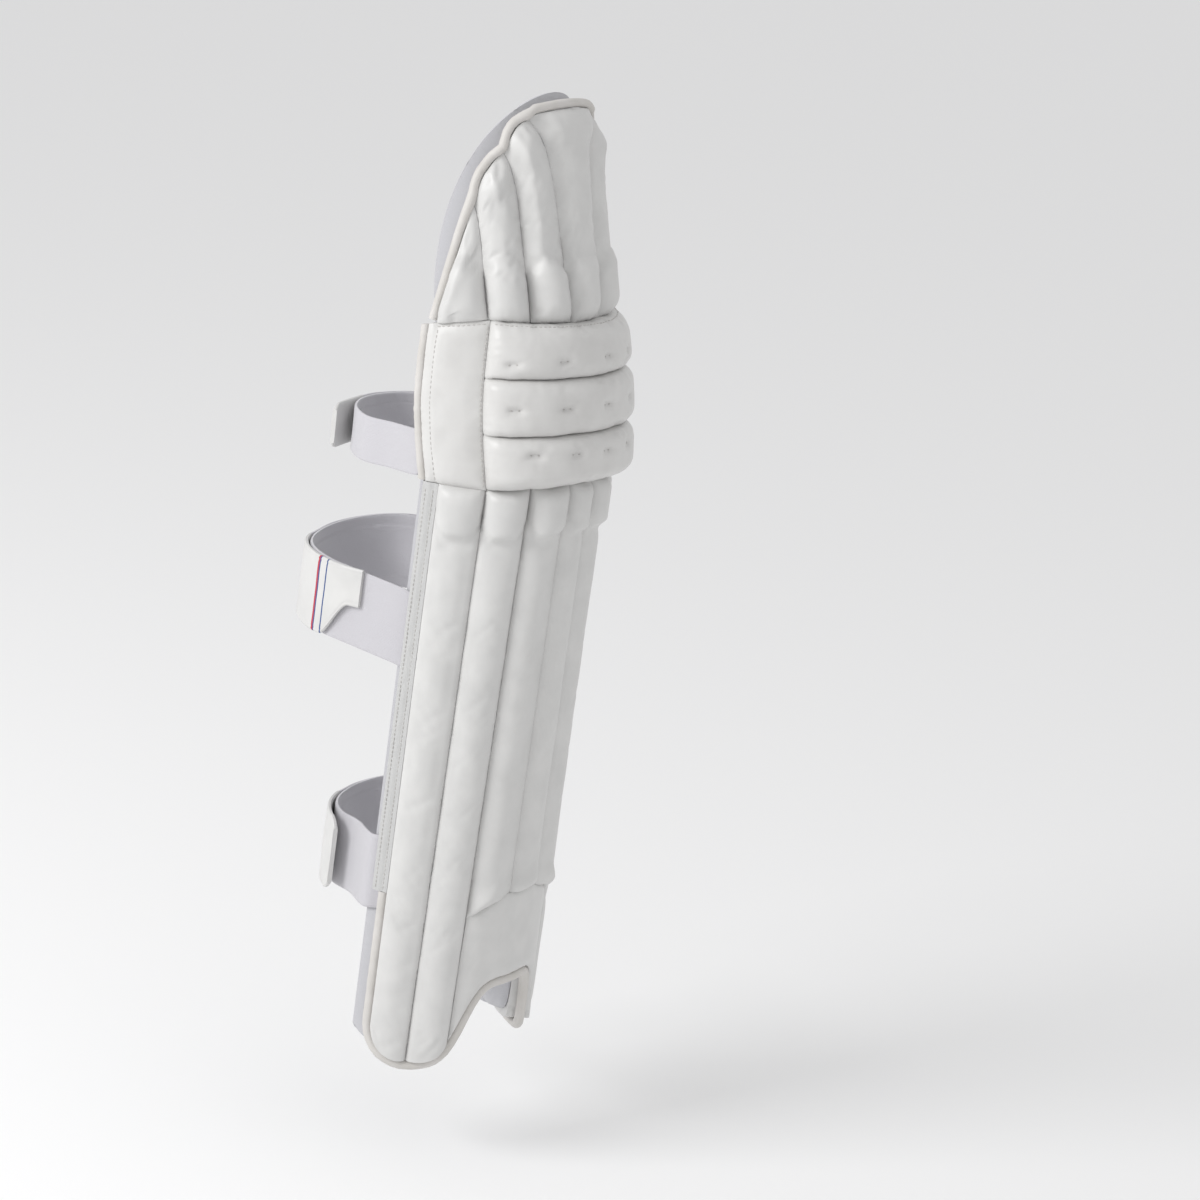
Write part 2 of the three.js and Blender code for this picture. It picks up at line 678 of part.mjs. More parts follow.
// The strap runs from the lateral edge round the leg, through the ring and back over itself
function strapGeometry(name) {
  const strap = strapTable[name];
  const ring = ringTable[name];
  const inner = strap.loopRadius;
  const outer = inner + webThickness + layerGap;
  const plan = ringPlan(name);
  const points = rootPoints(name, -1);
  for (let degrees = strap.joins; degrees >= -235; degrees -= 25) {
    points.push(onLoop(strap, degrees, inner));
  }
  const ringIndex = points.length + 2;
  points.push(...turnPoints(plan.rear, plan.ahead, -1));
  const tabStart = tabTable[name].start;
  for (let degrees = -235; degrees < tabStart - 8; degrees += 25) {
    points.push(onLoop(strap, degrees, outer));
  }
  points.push(onLoop(strap, tabStart, outer));
  const ringAt = ringIndex / (points.length - 1);
  return band(points, 2, webThickness, (along) => {
    const toBack = smooth(along / 0.25);
    const toRing = 1 - smooth((Math.abs(along - ringAt) - 0.14) / 0.2);
    const behind = lerp(strap.rootHeight, strap.backHeight, toBack);
    const level = lerp(behind, ring.height, toRing);
    return { low: level - strap.width / 2, high: level + strap.width / 2 };
  });
}

// A stiff tab at the end of the strap, flat on it or standing off it at its tip
function tabGeometry(name) {
  const strap = strapTable[name];
  const tab = tabTable[name];
  const radius = strap.loopRadius + webThickness / 2 + layerGap + tabThickness / 2;
  const points = [];
  for (let share = 0; share <= 1.001; share += 0.125) {
    const lift = tab.standOff * share * share;
    points.push(onLoop(strap, lerp(tab.start + tabGap, tab.stop, share), radius + lift));
  }
  const half = strap.width / 2;
  return band(points, 2, tabThickness, (along) => {
    if (name === "calf") {
      const cut = smooth((along - 0.66) / 0.26);
      return { low: strap.backHeight - half + cut * half, high: strap.backHeight + half };
    }
    const tip = Math.max(0, along - 0.85) / 0.15;
    const round = half * 0.8 * (1 - Math.sqrt(1 - 0.5 * tip * tip));
    return { low: strap.backHeight - half + round, high: strap.backHeight + half - round };
  });
}

for (const name of ["knee", "calf", "ankle"]) {
  addPiece(`${name}_strap`, strapGeometry(name), colours.webbing, 0.9);
  addPiece(`${name}_tab`, tabGeometry(name), colours.leather, 0.5);
  addPiece(`${name}_ring`, ringGeometry(name), colours.ring, 0.4);
}

// A short band from the medial edge round the front bar of a ring and back
function stubGeometry(name, low, high, rootShift) {
  const ring = ringTable[name];
  const plan = ringPlan(name);
  const outward = planPoint(plan.ahead.y, -plan.ahead.x);
  const fold = Math.min(ring.reach * 0.6, 14);
  const points = rootPoints(name, 1);
  points.push(...turnPoints(plan.front, plan.ahead, 1));
  points.push(
    plan.front.clone().addScaledVector(plan.ahead, -fold).addScaledVector(outward, turnRadius * 0.9),
  );
  return band(points, 3, webThickness, (along) => {
    const shift = rootShift * (1 - smooth(along / 0.45));
    return { low: low + shift, high: high + shift };
  });
}

const stubMargin = ringBar + 1;
for (const name of ["knee", "ankle"]) {
  const ring = ringTable[name];
  const half = ring.tall / 2 - stubMargin;
  const geometry = stubGeometry(name, ring.height - half, ring.height + half, 0);
  addPiece(`${name}_stub`, geometry, colours.webbing, 0.9);
}
const calfMiddle = ringTable.calf.height;
const elastics = [
  { place: "upper", low: calfMiddle + elasticGap, shift: elasticSpread / 4 },
  { place: "lower", low: calfMiddle - elasticGap - elasticWidth, shift: -elasticSpread },
];
for (const { place, low, shift } of elastics) {
  const geometry = stubGeometry("calf", low, low + elasticWidth, shift);
  addPiece(`calf_elastic_${place}`, geometry, colours.elastic, 0.9);
}

pad.children.forEach((mesh) => mesh.geometry.translate(0, 0, -strapTable.calf.rootHeight));

export default pad;
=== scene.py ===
import math
import bmesh
import bpy
import numpy as np
from mathutils import Matrix, Vector


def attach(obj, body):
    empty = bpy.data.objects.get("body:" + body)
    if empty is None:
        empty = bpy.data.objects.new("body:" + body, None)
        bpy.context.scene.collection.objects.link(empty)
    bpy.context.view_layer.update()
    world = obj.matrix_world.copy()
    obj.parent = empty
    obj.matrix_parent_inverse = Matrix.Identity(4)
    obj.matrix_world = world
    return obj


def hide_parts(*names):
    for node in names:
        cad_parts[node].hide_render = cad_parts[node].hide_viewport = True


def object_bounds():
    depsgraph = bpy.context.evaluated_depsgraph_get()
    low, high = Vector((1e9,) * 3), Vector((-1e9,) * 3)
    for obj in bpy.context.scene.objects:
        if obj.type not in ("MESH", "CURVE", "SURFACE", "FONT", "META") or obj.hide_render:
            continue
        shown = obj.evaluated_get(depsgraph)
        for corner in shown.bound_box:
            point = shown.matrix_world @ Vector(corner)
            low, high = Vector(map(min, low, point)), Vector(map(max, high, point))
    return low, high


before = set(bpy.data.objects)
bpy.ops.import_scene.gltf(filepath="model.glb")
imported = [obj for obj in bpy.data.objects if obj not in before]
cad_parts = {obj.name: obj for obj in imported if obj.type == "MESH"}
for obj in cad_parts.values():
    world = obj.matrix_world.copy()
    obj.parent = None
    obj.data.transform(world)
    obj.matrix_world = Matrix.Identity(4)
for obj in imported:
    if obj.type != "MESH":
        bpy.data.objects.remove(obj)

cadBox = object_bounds()
mm = 0.001
bpy.ops.object.select_all(action="DESELECT")

# Camera at the photograph's angle; pixels are those of its 1200 x 1200 frame
photoView = {
    "frameWidth": 1200,
    "focalPixels": 3756.5,
    "target": (0, -30, 36),          # mm, below the knee rolls
    "targetPixel": (492.4, 575.7),
    "azimuth": -56.57,
    "elevation": 15.88,
    "roll": 7.52,                    # the pad leans to the right in the picture
    "distance": 2800,
}


def makeCamera(view):
    azimuth, elevation, roll = (math.radians(view[k]) for k in ("azimuth", "elevation", "roll"))
    back = Vector((
        math.sin(azimuth) * math.cos(elevation),
        -math.cos(azimuth) * math.cos(elevation),
        math.sin(elevation),
    ))
    level = Vector((math.cos(azimuth), math.sin(azimuth), 0))
    upright = back.cross(level)
    right = level * math.cos(roll) + upright * math.sin(roll)
    up = upright * math.cos(roll) - level * math.sin(roll)
    middle = view["frameWidth"] / 2
    aside = (middle - view["targetPixel"][0]) / view["focalPixels"]
    above = (view["targetPixel"][1] - middle) / view["focalPixels"]
    axis = (-back + right * aside + up * above).normalized()
    right = (right - axis * right.dot(axis)).normalized()
    up = right.cross(axis)
    place = Vector(view["target"]) + back * view["distance"]
    camera = bpy.data.objects.new("photoCamera", bpy.data.cameras.new("photoCamera"))
    camera.matrix_world = Matrix((
        (right.x, up.x, -axis.x, place.x * mm),
        (right.y, up.y, -axis.y, place.y * mm),
        (right.z, up.z, -axis.z, place.z * mm),
        (0, 0, 0, 1),
    ))
    camera.data.sensor_width = 36
    camera.data.lens = 36 * view["focalPixels"] / view["frameWidth"]
    camera.data.clip_end = 100
    bpy.context.scene.collection.objects.link(camera)
    bpy.context.scene.camera = camera
    return back, right


cameraBack, cameraRight = makeCamera(photoView)
print("camera placed")

# Studio: pale floor, white room light and a broad light from the camera's left
studio = {
    "floorDrop": 75,                 # mm below the hem
    "floorColour": (0.93, 0.93, 0.93, 1),
    "roomColour": (0.96, 0.96, 0.965, 1),
    "roomStrength": 0.78,
    "distance": 2.6,                 # m from the pad's middle; lights are aimed by right, towards, up
    "lights": {
        "keyLight": {"aim": (-0.86, 0.55, 0.5), "power": 37, "size": 1.1},
        "fillLight": {"aim": (0.8, 0.7, 0.2), "power": 0.5, "size": 2.2},
    },
}


def makeStudio(look):
    bpy.ops.mesh.primitive_plane_add(size=60, location=(0, 0, cadBox[0].z - look["floorDrop"] * mm))
    floor = bpy.context.active_object
    floor.name = "studioFloor"
    material = bpy.data.materials.new("studioFloor")
    material.use_nodes = True
    shader = material.node_tree.nodes["Principled BSDF"]
    shader.inputs["Base Color"].default_value = look["floorColour"]
    shader.inputs["Roughness"].default_value = 0.9
    floor.data.materials.append(material)
    world = bpy.data.worlds.new("studioRoom")
    world.use_nodes = True
    background = world.node_tree.nodes["Background"]
    background.inputs["Color"].default_value = look["roomColour"]
    background.inputs["Strength"].default_value = look["roomStrength"]
    bpy.context.scene.world = world
    centre = (cadBox[0] + cadBox[1]) / 2
    for name, lamp in look["lights"].items():
        data = bpy.data.lights.new(name, "AREA")
        data.energy = lamp["power"]
        data.size = lamp["size"]
        light = bpy.data.objects.new(name, data)
        right, towards, above = lamp["aim"]
        direction = cameraRight * right + cameraBack * towards + Vector((0, 0, above))
        light.location = centre + direction.normalized() * look["distance"]
        light.rotation_euler = (centre - light.location).to_track_quat("-Z", "Y").to_euler()
        bpy.context.scene.collection.objects.link(light)


makeStudio(studio)
bpy.context.scene.view_settings.view_transform = "Standard"
print("studio lit")

# The pad's form, in millimetres: arc is measured along the plan section from the front,
# height from the lowest point of the hem, out from the stitched valleys
form = {
    "halfWidth": 89,
    "halfDepth": 94,
    "halfWrap": 113,
    "kneeWrap": 123.5,
    "kneeBottom": 457,
    "rollHeight": 41,
    "rollCount": 3,
    "crownHeight": 145,
    "crownLiningHeight": 157,
    "topLean": 14,
    "bendLead": 20,
    "pivotShare": -0.62,
    "shell": 12,                     # stuffing behind the valleys
    "hemDatum": 337,                 # the frame's origin above the hem
    "archHeight": 67,
    "archHalf": 41.8,
    "archPower": 6,
    "hemCorner": 35,
    "piping": 4, "pipingOut": -2,
    "tapeFoot": 140,
    "instepTop": 145,
    "instepDrop": 18,
    "rollSag": 7,
    "wingBow": 8,
    "rollBow": 7,
}
kneeTop = form["kneeBottom"] + form["rollHeight"] * form["rollCount"]
sides = (("lateral", -1), ("medial", 1))
seamGap = 0.06  # mm between a panel and its seam

seams = {  # shares of the half wrap at the hem, below the knee rolls, above them and at the crown's edge
    "middle": (0, 0, 0, 0),
    "centre": (0.15, 0.124, 0.14, 0.36),
    "inner": (0.478, 0.412, 0.44, 0.54),
    "outer": (0.743, 0.7, 0.715, 0.755),
    "edge": (1, 1, 1.035, 1.03),
}


def smooth(value):
    value = np.clip(value, 0, 1)
    return value * value * (3 - 2 * value)


def blend(low, high, share):
    return low + (high - low) * share


def bell(distance, width):
    return np.exp(-((distance / width) ** 2))


angleTable = np.radians(np.arange(0, 131, 0.5))
angleMiddles = (angleTable[1:] + angleTable[:-1]) / 2
speeds = np.hypot(form["halfWidth"] * np.cos(angleMiddles), form["halfDepth"] * np.sin(angleMiddles))
arcTable = np.concatenate([[0], np.cumsum(speeds * np.diff(angleTable))])
bendStart = form["kneeBottom"] - form["bendLead"]
bendEnd = kneeTop + form["bendLead"]


def leanAt(height):
    return math.radians(form["topLean"]) * smooth((height - bendStart) / (bendEnd - bendStart))


spineStep = 4.0
spineHeights = np.arange(-spineStep, 776, spineStep)
spineMiddles = (spineHeights[1:] + spineHeights[:-1]) / 2
spineBack = np.concatenate([[0], np.cumsum(spineStep * np.sin(leanAt(spineMiddles)))])
spineUp = np.concatenate([[0], np.cumsum(spineStep * np.cos(leanAt(spineMiddles)))]) - spineStep
pivotY = form["pivotShare"] * form["halfDepth"]


def padPoint(arc, height, out):
    arc, height, out = np.broadcast_arrays(np.asarray(arc, float), height, out)
    angle = np.sign(arc) * np.interp(np.abs(arc), arcTable, angleTable)
    nx = np.sin(angle) / form["halfWidth"]
    ny = -np.cos(angle) / form["halfDepth"]
    length = np.hypot(nx, ny)
    x = form["halfWidth"] * np.sin(angle) + out * nx / length
    y = -form["halfDepth"] * np.cos(angle) + out * ny / length
    lean = leanAt(height)
    depth = y - pivotY
    back = np.interp(height, spineHeights, spineBack)
    up = np.interp(height, spineHeights, spineUp)
    z = up - depth * np.sin(lean) - form["hemDatum"]
    return np.stack([x, pivotY + back + depth * np.cos(lean), z], -1) * mm


def seamArc(seam, height):
    foot, knee = seams[seam][0], seams[seam][1]
    return form["halfWrap"] * blend(foot, knee, np.clip(height / form["kneeBottom"], 0, 1))


hemReach = form["halfWrap"] + 2 * form["piping"]
cornerStart = hemReach - form["hemCorner"]


def hemLine(arc):
    reach = np.abs(arc)
    arch = form["archHeight"] / (1 + (reach / form["archHalf"]) ** form["archPower"])
    turn = np.clip(reach - cornerStart, 0, form["hemCorner"] * 0.985)
    return arch + form["hemCorner"] - np.sqrt(form["hemCorner"] ** 2 - turn**2)


def shinFoot(arc):
    away = 2 * form["piping"] + 0.5
    foot = np.zeros_like(arc)
    for share in np.linspace(-1, 1, 41):
        foot = np.maximum(foot, hemLine(arc + share * away) + away * math.sqrt(max(0, 1 - share * share)))
    return foot


instepHalf = form["halfWrap"] * seams["inner"][0]
rollHalf = form["halfWrap"] * seams["outer"][1]


def instepSeam(arc):
    return form["instepTop"] - form["instepDrop"] * (arc / instepHalf) ** 2 + 1.2 * np.sin(arc / 5.2)


def rollSag(arc):
    return form["rollSag"] * np.maximum(0, 1 - (arc / rollHalf) ** 2)


def rollEdge(share):
    return rollHalf + form["rollBow"] * np.sin(math.pi * np.clip(share, 0, 1))


def wingEdge(share):
    return form["kneeWrap"] + form["wingBow"] * np.sin(math.pi * np.clip(share, 0, 1))


def softNoise(x, y, size, seed):  # smooth, from -1 to 1, with bumps about one size wide
    random = np.random.default_rng(seed)
    total = np.zeros(np.broadcast(x, y).shape)
    for _ in range(9):
        heading = random.uniform(0, 2 * math.pi)
        stretch = random.uniform(0.7, 1.5)
        run = (np.cos(heading) * x + np.sin(heading) * y) * 2 * math.pi / (size * 2 * stretch)
        total = total + np.sin(run + random.uniform(0, 2 * math.pi))
    return total / 4.5


# Node groups for the finishes
def addNode(tree, kind, inputs=None, **settings):
    node = tree.nodes.new(kind)
    for key, value in settings.items():
        setattr(node, key, value)
    for key, value in (inputs or {}).items():
        if isinstance(value, bpy.types.NodeSocket):
            tree.links.new(value, node.inputs[key])
        else:
            node.inputs[key].default_value = value
    return node


def newGroup(name, inputs, outputs):
    tree = bpy.data.node_groups.new(name, "ShaderNodeTree")
    for label, kind, value in inputs:
        socket = tree.interface.new_socket(label, in_out="INPUT", socket_type=kind)
        if value is not None:
            socket.default_value = value
    for label, kind in outputs:
        tree.interface.new_socket(label, in_out="OUTPUT", socket_type=kind)
    return tree, tree.nodes.new("NodeGroupInput"), tree.nodes.new("NodeGroupOutput")


def math2(tree, operation, first, second=0.0):
    node = tree.nodes.new("ShaderNodeMath")
    node.operation = operation
    for index, value in enumerate((first, second)):
        if isinstance(value, bpy.types.NodeSocket):
            tree.links.new(value, node.inputs[index])
        else:
            node.inputs[index].default_value = value
    return node.outputs[0]


def makeGrainGroup():  # pebbled grain of a coated leather, with faint creases
    tree, inside, outside = newGroup(
        "coatedGrain",
        [("Vector", "NodeSocketVector", None), ("Pebble", "NodeSocketFloat", 1300.0),
         ("Crease", "NodeSocketFloat", 0.4)],
        [("Height", "NodeSocketFloat"), ("Tone", "NodeSocketFloat")],
    )
    pebble = addNode(tree, "ShaderNodeTexVoronoi", {"Vector": inside.outputs["Vector"],
                                                    "Scale": inside.outputs["Pebble"]}, feature="SMOOTH_F1")
    place = inside.outputs["Vector"]
    drift = addNode(tree, "ShaderNodeTexNoise", {"Vector": place, "Scale": 45.0, "Detail": 3.0})
    crease = addNode(tree, "ShaderNodeTexNoise", {"Vector": place, "Scale": 190.0, "Detail": 4.0,
                                                  "Distortion": 1.4})
    ridge = math2(tree, "ABSOLUTE", math2(tree, "SUBTRACT", crease.outputs[0], 0.5))
    line = math2(tree, "MULTIPLY", math2(tree, "SUBTRACT", 0.08, math2(tree, "MINIMUM", ridge, 0.08)),
                 inside.outputs["Crease"])
    low = math2(tree, "MULTIPLY", pebble.outputs["Distance"], 0.35)
    height = math2(tree, "SUBTRACT", low, math2(tree, "MULTIPLY", line, 5.0))
    tree.links.new(height, outside.inputs["Height"])
    tree.links.new(drift.outputs[0], outside.inputs["Tone"])
    return tree


def makeWeaveGroup():  # two sets of threads that cross, leaning by Twill
    tree, inside, outside = newGroup(
        "weave",
        [("Vector", "NodeSocketVector", None), ("Threads", "NodeSocketFloat", 10.0),
         ("Twill", "NodeSocketFloat", 0.0)],
        [("Height", "NodeSocketFloat"), ("Tone", "NodeSocketFloat")],
    )
    parts = addNode(tree, "ShaderNodeSeparateXYZ", {"Vector": inside.outputs["Vector"]})
    turn = math2(tree, "MULTIPLY", inside.outputs["Threads"], 2 * math.pi)
    leaning = math2(tree, "MULTIPLY", parts.outputs[1], inside.outputs["Twill"])
    across = math2(tree, "ADD", parts.outputs[0], leaning)
    warp = math2(tree, "SINE", math2(tree, "MULTIPLY", across, turn))
    weft = math2(tree, "SINE", math2(tree, "MULTIPLY", parts.outputs[1], turn))
    cross = math2(tree, "MULTIPLY", warp, weft)
    place = inside.outputs["Vector"]
    fuzz = addNode(tree, "ShaderNodeTexNoise", {"Vector": place, "Scale": 16.0, "Detail": 5.0})
    height = math2(tree, "ADD", math2(tree, "MULTIPLY", cross, 0.5), fuzz.outputs[0])
    tree.links.new(height, outside.inputs["Height"])
    tree.links.new(fuzz.outputs[0], outside.inputs["Tone"])
    return tree


grainGroup = makeGrainGroup()
weaveGroup = makeWeaveGroup()


def tinted(tree, tone, dark, light, spread=0.18):  # colour that wanders between two tints
    limits = {"Value": tone, "From Min": 0.5 - spread, "From Max": 0.5 + spread}
    band = addNode(tree, "ShaderNodeMapRange", limits)
    mix = addNode(tree, "ShaderNodeMix", {"Factor": band.outputs[0]}, data_type="RGBA")
    mix.inputs["A"].default_value = (*dark, 1)
    mix.inputs["B"].default_value = (*light, 1)
    return mix.outputs["Result"]


materials = {}


def newMaterial(name, look, group, vector):
    materials[name] = bpy.data.materials.new(name)
    materials[name].use_nodes = True
    tree = materials[name].node_tree
    shader = tree.nodes["Principled BSDF"]
    place = addNode(tree, "ShaderNodeTexCoord")
    pattern = addNode(tree, "ShaderNodeGroup", node_tree=group)
    tree.links.new(place.outputs[vector], pattern.inputs["Vector"])
    tone = tinted(tree, pattern.outputs["Tone"], look["dark"], look["light"])
    tree.links.new(tone, shader.inputs["Base Color"])
    bump = addNode(tree, "ShaderNodeBump", {"Height": pattern.outputs["Height"], "Strength": look["bump"],
                                            "Distance": 0.0004})
    tree.links.new(bump.outputs[0], shader.inputs["Normal"])
    return tree, shader, pattern


def addLeather(name, look):
    tree, shader, grain = newMaterial(name, look, grainGroup, "Object")
    grain.inputs["Pebble"].default_value = look["pebble"]
    grain.inputs["Crease"].default_value = look["crease"]
    low, high = look["rough"]
    rough = addNode(tree, "ShaderNodeMapRange", {"Value": grain.outputs["Tone"], "From Min": 0.3,
                                                 "From Max": 0.7, "To Min": low, "To Max": high})
    tree.links.new(rough.outputs[0], shader.inputs["Roughness"])
    shader.inputs["Specular IOR Level"].default_value = 0.4


def addCloth(name, look, vector):
    tree, shader, weave = newMaterial(name, look, weaveGroup, vector)
    weave.inputs["Threads"].default_value = look["threads"]
    weave.inputs["Twill"].default_value = look["twill"]
    shader.inputs["Roughness"].default_value = look["rough"]
    shader.inputs["Sheen Weight"].default_value = look["sheen"]
    shader.inputs["Specular IOR Level"].default_value = 0.2


leathers = {
    "ribLeather": {
        "dark": (0.60, 0.597, 0.588), "light": (0.65, 0.646, 0.636), "rough": (0.34, 0.48), "pebble": 1300.0,
        "crease": 0.35, "bump": 0.22,
    },
    "kneeLeather": {
        "dark": (0.605, 0.598, 0.586), "light": (0.655, 0.649, 0.637), "rough": (0.32, 0.46),
        "pebble": 1200.0, "crease": 0.4, "bump": 0.22,
    },
    "pipingLeather": {
        "dark": (0.56, 0.54, 0.51), "light": (0.63, 0.61, 0.59), "rough": (0.42, 0.56), "pebble": 1500.0,
        "crease": 0.8, "bump": 0.35,
    },
    "ringPlastic": {
        "dark": (0.59, 0.58, 0.57), "light": (0.63, 0.63, 0.61), "rough": (0.3, 0.38), "pebble": 700.0,
        "crease": 0.0, "bump": 0.06,
    },
}
cloths = {  # threads are counted to the centimetre of UV, in the thread itself to the metre
    "liningCloth": {
        "dark": (0.53, 0.53, 0.56), "light": (0.59, 0.59, 0.61), "rough": 0.9, "sheen": 0.25, "threads": 16.0,
        "twill": 1.0, "bump": 0.35,
    },
    "tapeWeave": {
        "dark": (0.56, 0.56, 0.56), "light": (0.63, 0.63, 0.62), "rough": 0.85, "sheen": 0.2, "threads": 11.0,
        "twill": 1.0, "bump": 0.6,
    },
    "webbing": {
        "dark": (0.53, 0.52, 0.55), "light": (0.60, 0.59, 0.62), "rough": 0.95, "sheen": 0.5, "threads": 9.0,
        "twill": 1.0, "bump": 0.5,
    },
    "elasticKnit": {
        "dark": (0.52, 0.51, 0.49), "light": (0.62, 0.61, 0.59), "rough": 0.95, "sheen": 0.2, "threads": 7.0,
        "twill": 0.0, "bump": 1.0,
    },
    "thread": {
        "dark": (0.48, 0.47, 0.45), "light": (0.57, 0.56, 0.54), "rough": 0.8, "sheen": 0.1, "threads": 30.0,
        "twill": 0.6, "bump": 0.3,
    },
}
for name, look in leathers.items():
    addLeather(name, look)
for name, look in cloths.items():
    addCloth(name, look, "Object" if name == "thread" else "UV")
print("finishes made")


# Helpers that bring a piece to its place
def only(piece):
    bpy.ops.object.select_all(action="DESELECT")
    piece.select_set(True)
    bpy.context.view_layer.objects.active = piece


def meshPoints(piece):
    points = np.empty(len(piece.data.vertices) * 3)
    piece.data.vertices.foreach_get("co", points)
    return points.reshape(-1, 3)


def setPoints(piece, points):
    piece.data.vertices.foreach_set("co", np.asarray(points, float).ravel())
    piece.data.update()


def setUv(piece, coordinates):  # one pair for each vertex, in centimetres
    layer = piece.data.uv_layers.active or piece.data.uv_layers.new(name="surface")
    corners = np.empty(len(piece.data.loops), int)
    piece.data.loops.foreach_get("vertex_index", corners)
    layer.data.foreach_set("uv", np.asarray(coordinates, float)[corners].ravel())


def dress(piece, name, material, nodes=(), angle=40):
    piece.name = name
    piece.data.name = name
    piece.data.materials.clear()
    piece.data.materials.append(materials[material])
    only(piece)
    bpy.ops.object.shade_smooth_by_angle(angle=math.radians(angle))
    if nodes:
        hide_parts(*nodes)
    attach(piece, "root")


def chooseEdges(piece, axis, least):  # those that run further than least along an axis, in edit mode
    only(piece)
    bpy.ops.object.mode_set(mode="EDIT")
    bpy.ops.mesh.select_mode(type="EDGE")
    bpy.ops.mesh.select_all(action="DESELECT")
    work = bmesh.from_edit_mesh(piece.data)
    for edge in work.edges:
        first, second = edge.verts
        edge.select_set(abs(first.co[axis] - second.co[axis]) > least)
    bmesh.update_edit_mesh(piece.data)


def cutUpright(piece, cuts):  # even cuts across the upright edges
    chooseEdges(piece, 2, 1e-5)
    bpy.ops.mesh.subdivide(number_cuts=cuts)
    bpy.ops.object.mode_set(mode="OBJECT")


# Padded panels: a flat grid placed by (arc, height, out), swollen as cloth, then wrapped round the section.
# share runs across the panel with the arc, rise up it; fine says whether small creases are wanted.
panels = []
simStep = 4.5    # mm between points while the cloth swells
fineStep = 2.0   # mm between points of the finished surface
padding = {
    "flatter": 0.14,      # the cloth starts this share lower than its final form
    "pressure": 30.0,
    "mass": 0.02,
    "quality": 5, "tension": 18, "compression": 12, "shear": 6, "bending": 0.6,
    "frames": 20,
    "pinned": 3.2,        # mm round a tuft that stay where they are
}


def addPanel(name, place, size, finish, slot, swell=0.0, fill=0.7, backOut=None, inward=False, pins=(),
             step=fineStep, slack=0.002):
    panels.append({
        "name": name, "place": place, "size": size, "finish": finish, "slot": slot,
        "swell": swell, "slack": slack, "fill": fill, "backOut": backOut, "inward": inward,
        "pins": pins, "step": step,
        "columns": max(4, round(size[0] / simStep)) + 1, "rows": max(4, round(size[1] / simStep)) + 1,
    })


def clothOf(soft, slack):  # one mesh of flat panels, cut larger by the slack and pinned at its seams
    points, faces, pinned = [], [], []
    offset = 0
    for panel in soft:
        columns, rows = panel["columns"], panel["rows"]
        share, rise = np.meshgrid(np.linspace(0, 1, columns), np.linspace(0, 1, rows))
        arc, height, out = panel["place"](share, rise, False)
        points.append(padPoint(arc, height, out - padding["flatter"] * np.maximum(out, 0)).reshape(-1, 3))
        index = offset + np.arange(columns * rows).reshape(rows, columns)
        quads = np.stack([index[:-1, :-1], index[:-1, 1:], index[1:, 1:], index[1:, :-1]], -1).reshape(-1, 4)
        faces.append(quads[:, ::-1] if panel["inward"] else quads)
        held = np.zeros((rows, columns), bool)
        held[0, :] = held[-1, :] = held[:, 0] = held[:, -1] = True
        for pinArc, pinHeight in panel["pins"]:
            held |= np.hypot(arc - pinArc, height - pinHeight) < padding["pinned"]
        pinned.extend(index[held].tolist())
        panel["first"] = offset
        offset += columns * rows
    rest = np.concatenate(points)
    mesh = bpy.data.meshes.new("swelling")
    mesh.from_pydata(rest.tolist(), [], np.concatenate(faces).tolist())
    work = bpy.data.objects.new("swelling", mesh)
    bpy.context.scene.collection.objects.link(work)
    work.vertex_groups.new(name="seams").add(pinned, 1.0, "REPLACE")
    cloth = work.modifiers.new("cloth", "CLOTH")
    settings = cloth.settings
    settings.quality = padding["quality"]
    settings.mass = padding["mass"]
    settings.tension_stiffness = padding["tension"]
    settings.compression_stiffness = padding["compression"]
    settings.shear_stiffness = padding["shear"]
    settings.bending_stiffness = padding["bending"]
    settings.shrink_min = -slack
    settings.use_pressure = True
    settings.uniform_pressure_force = padding["pressure"]
    settings.vertex_group_mass = "seams"
    settings.effector_weights.gravity = 0
    cloth.collision_settings.use_collision = False
    return work, rest


def swellPanels():
    soft = [panel for panel in panels if panel["swell"] > 0]
    groups = []
    for slack in sorted({panel["slack"] for panel in soft}):
        chosen = [panel for panel in soft if panel["slack"] == slack]
        groups.append((chosen, *clothOf(chosen, slack)))
    for step in range(1, padding["frames"] + 1):
        bpy.context.scene.frame_set(step)
    graph = bpy.context.evaluated_depsgraph_get()
    for chosen, work, rest in groups:
        swollen = meshPoints(work.evaluated_get(graph))
        for panel in chosen:
            columns, rows, first = panel["columns"], panel["rows"], panel["first"]
            move = (swollen - rest)[first:first + columns * rows]
            length = np.linalg.norm(move, axis=1, keepdims=True)
            cap = panel["swell"] * mm
            move = move * cap * np.tanh(length / cap) / np.maximum(length, 1e-9)
            panel["move"] = move.reshape(rows, columns, 3)
            print(panel["name"], "swollen by", round(float(np.abs(length).mean()) / mm, 2), "mm on average")
    bpy.context.scene.frame_set(1)
    for chosen, work, rest in groups:
        bpy.data.objects.remove(work)


def sampled(field, share, rise):  # a grid of moves, read smoothly at any place
    rows, columns = field.shape[:2]

    def near(value, count):
        low = np.clip(np.floor(value).astype(int), 0, count - 2)
        part = value - low
        picks = [np.clip(low + k, 0, count - 1) for k in (-1, 0, 1, 2)]
        amounts = [
            ((-part + 2) * part - 1) * part / 2,
            ((3 * part - 5) * part * part + 2) / 2,
            ((-3 * part + 4) * part + 1) * part / 2,
            (part - 1) * part * part / 2,
        ]
        return picks, amounts

    acrossPicks, acrossAmounts = near(share * (columns - 1), columns)
    alongPicks, alongAmounts = near(rise * (rows - 1), rows)
    total = np.zeros((len(share), 3))
    for i in range(4):
        for j in range(4):
            total += field[alongPicks[j], acrossPicks[i]] * (acrossAmounts[i] * alongAmounts[j])[:, None]
    return total


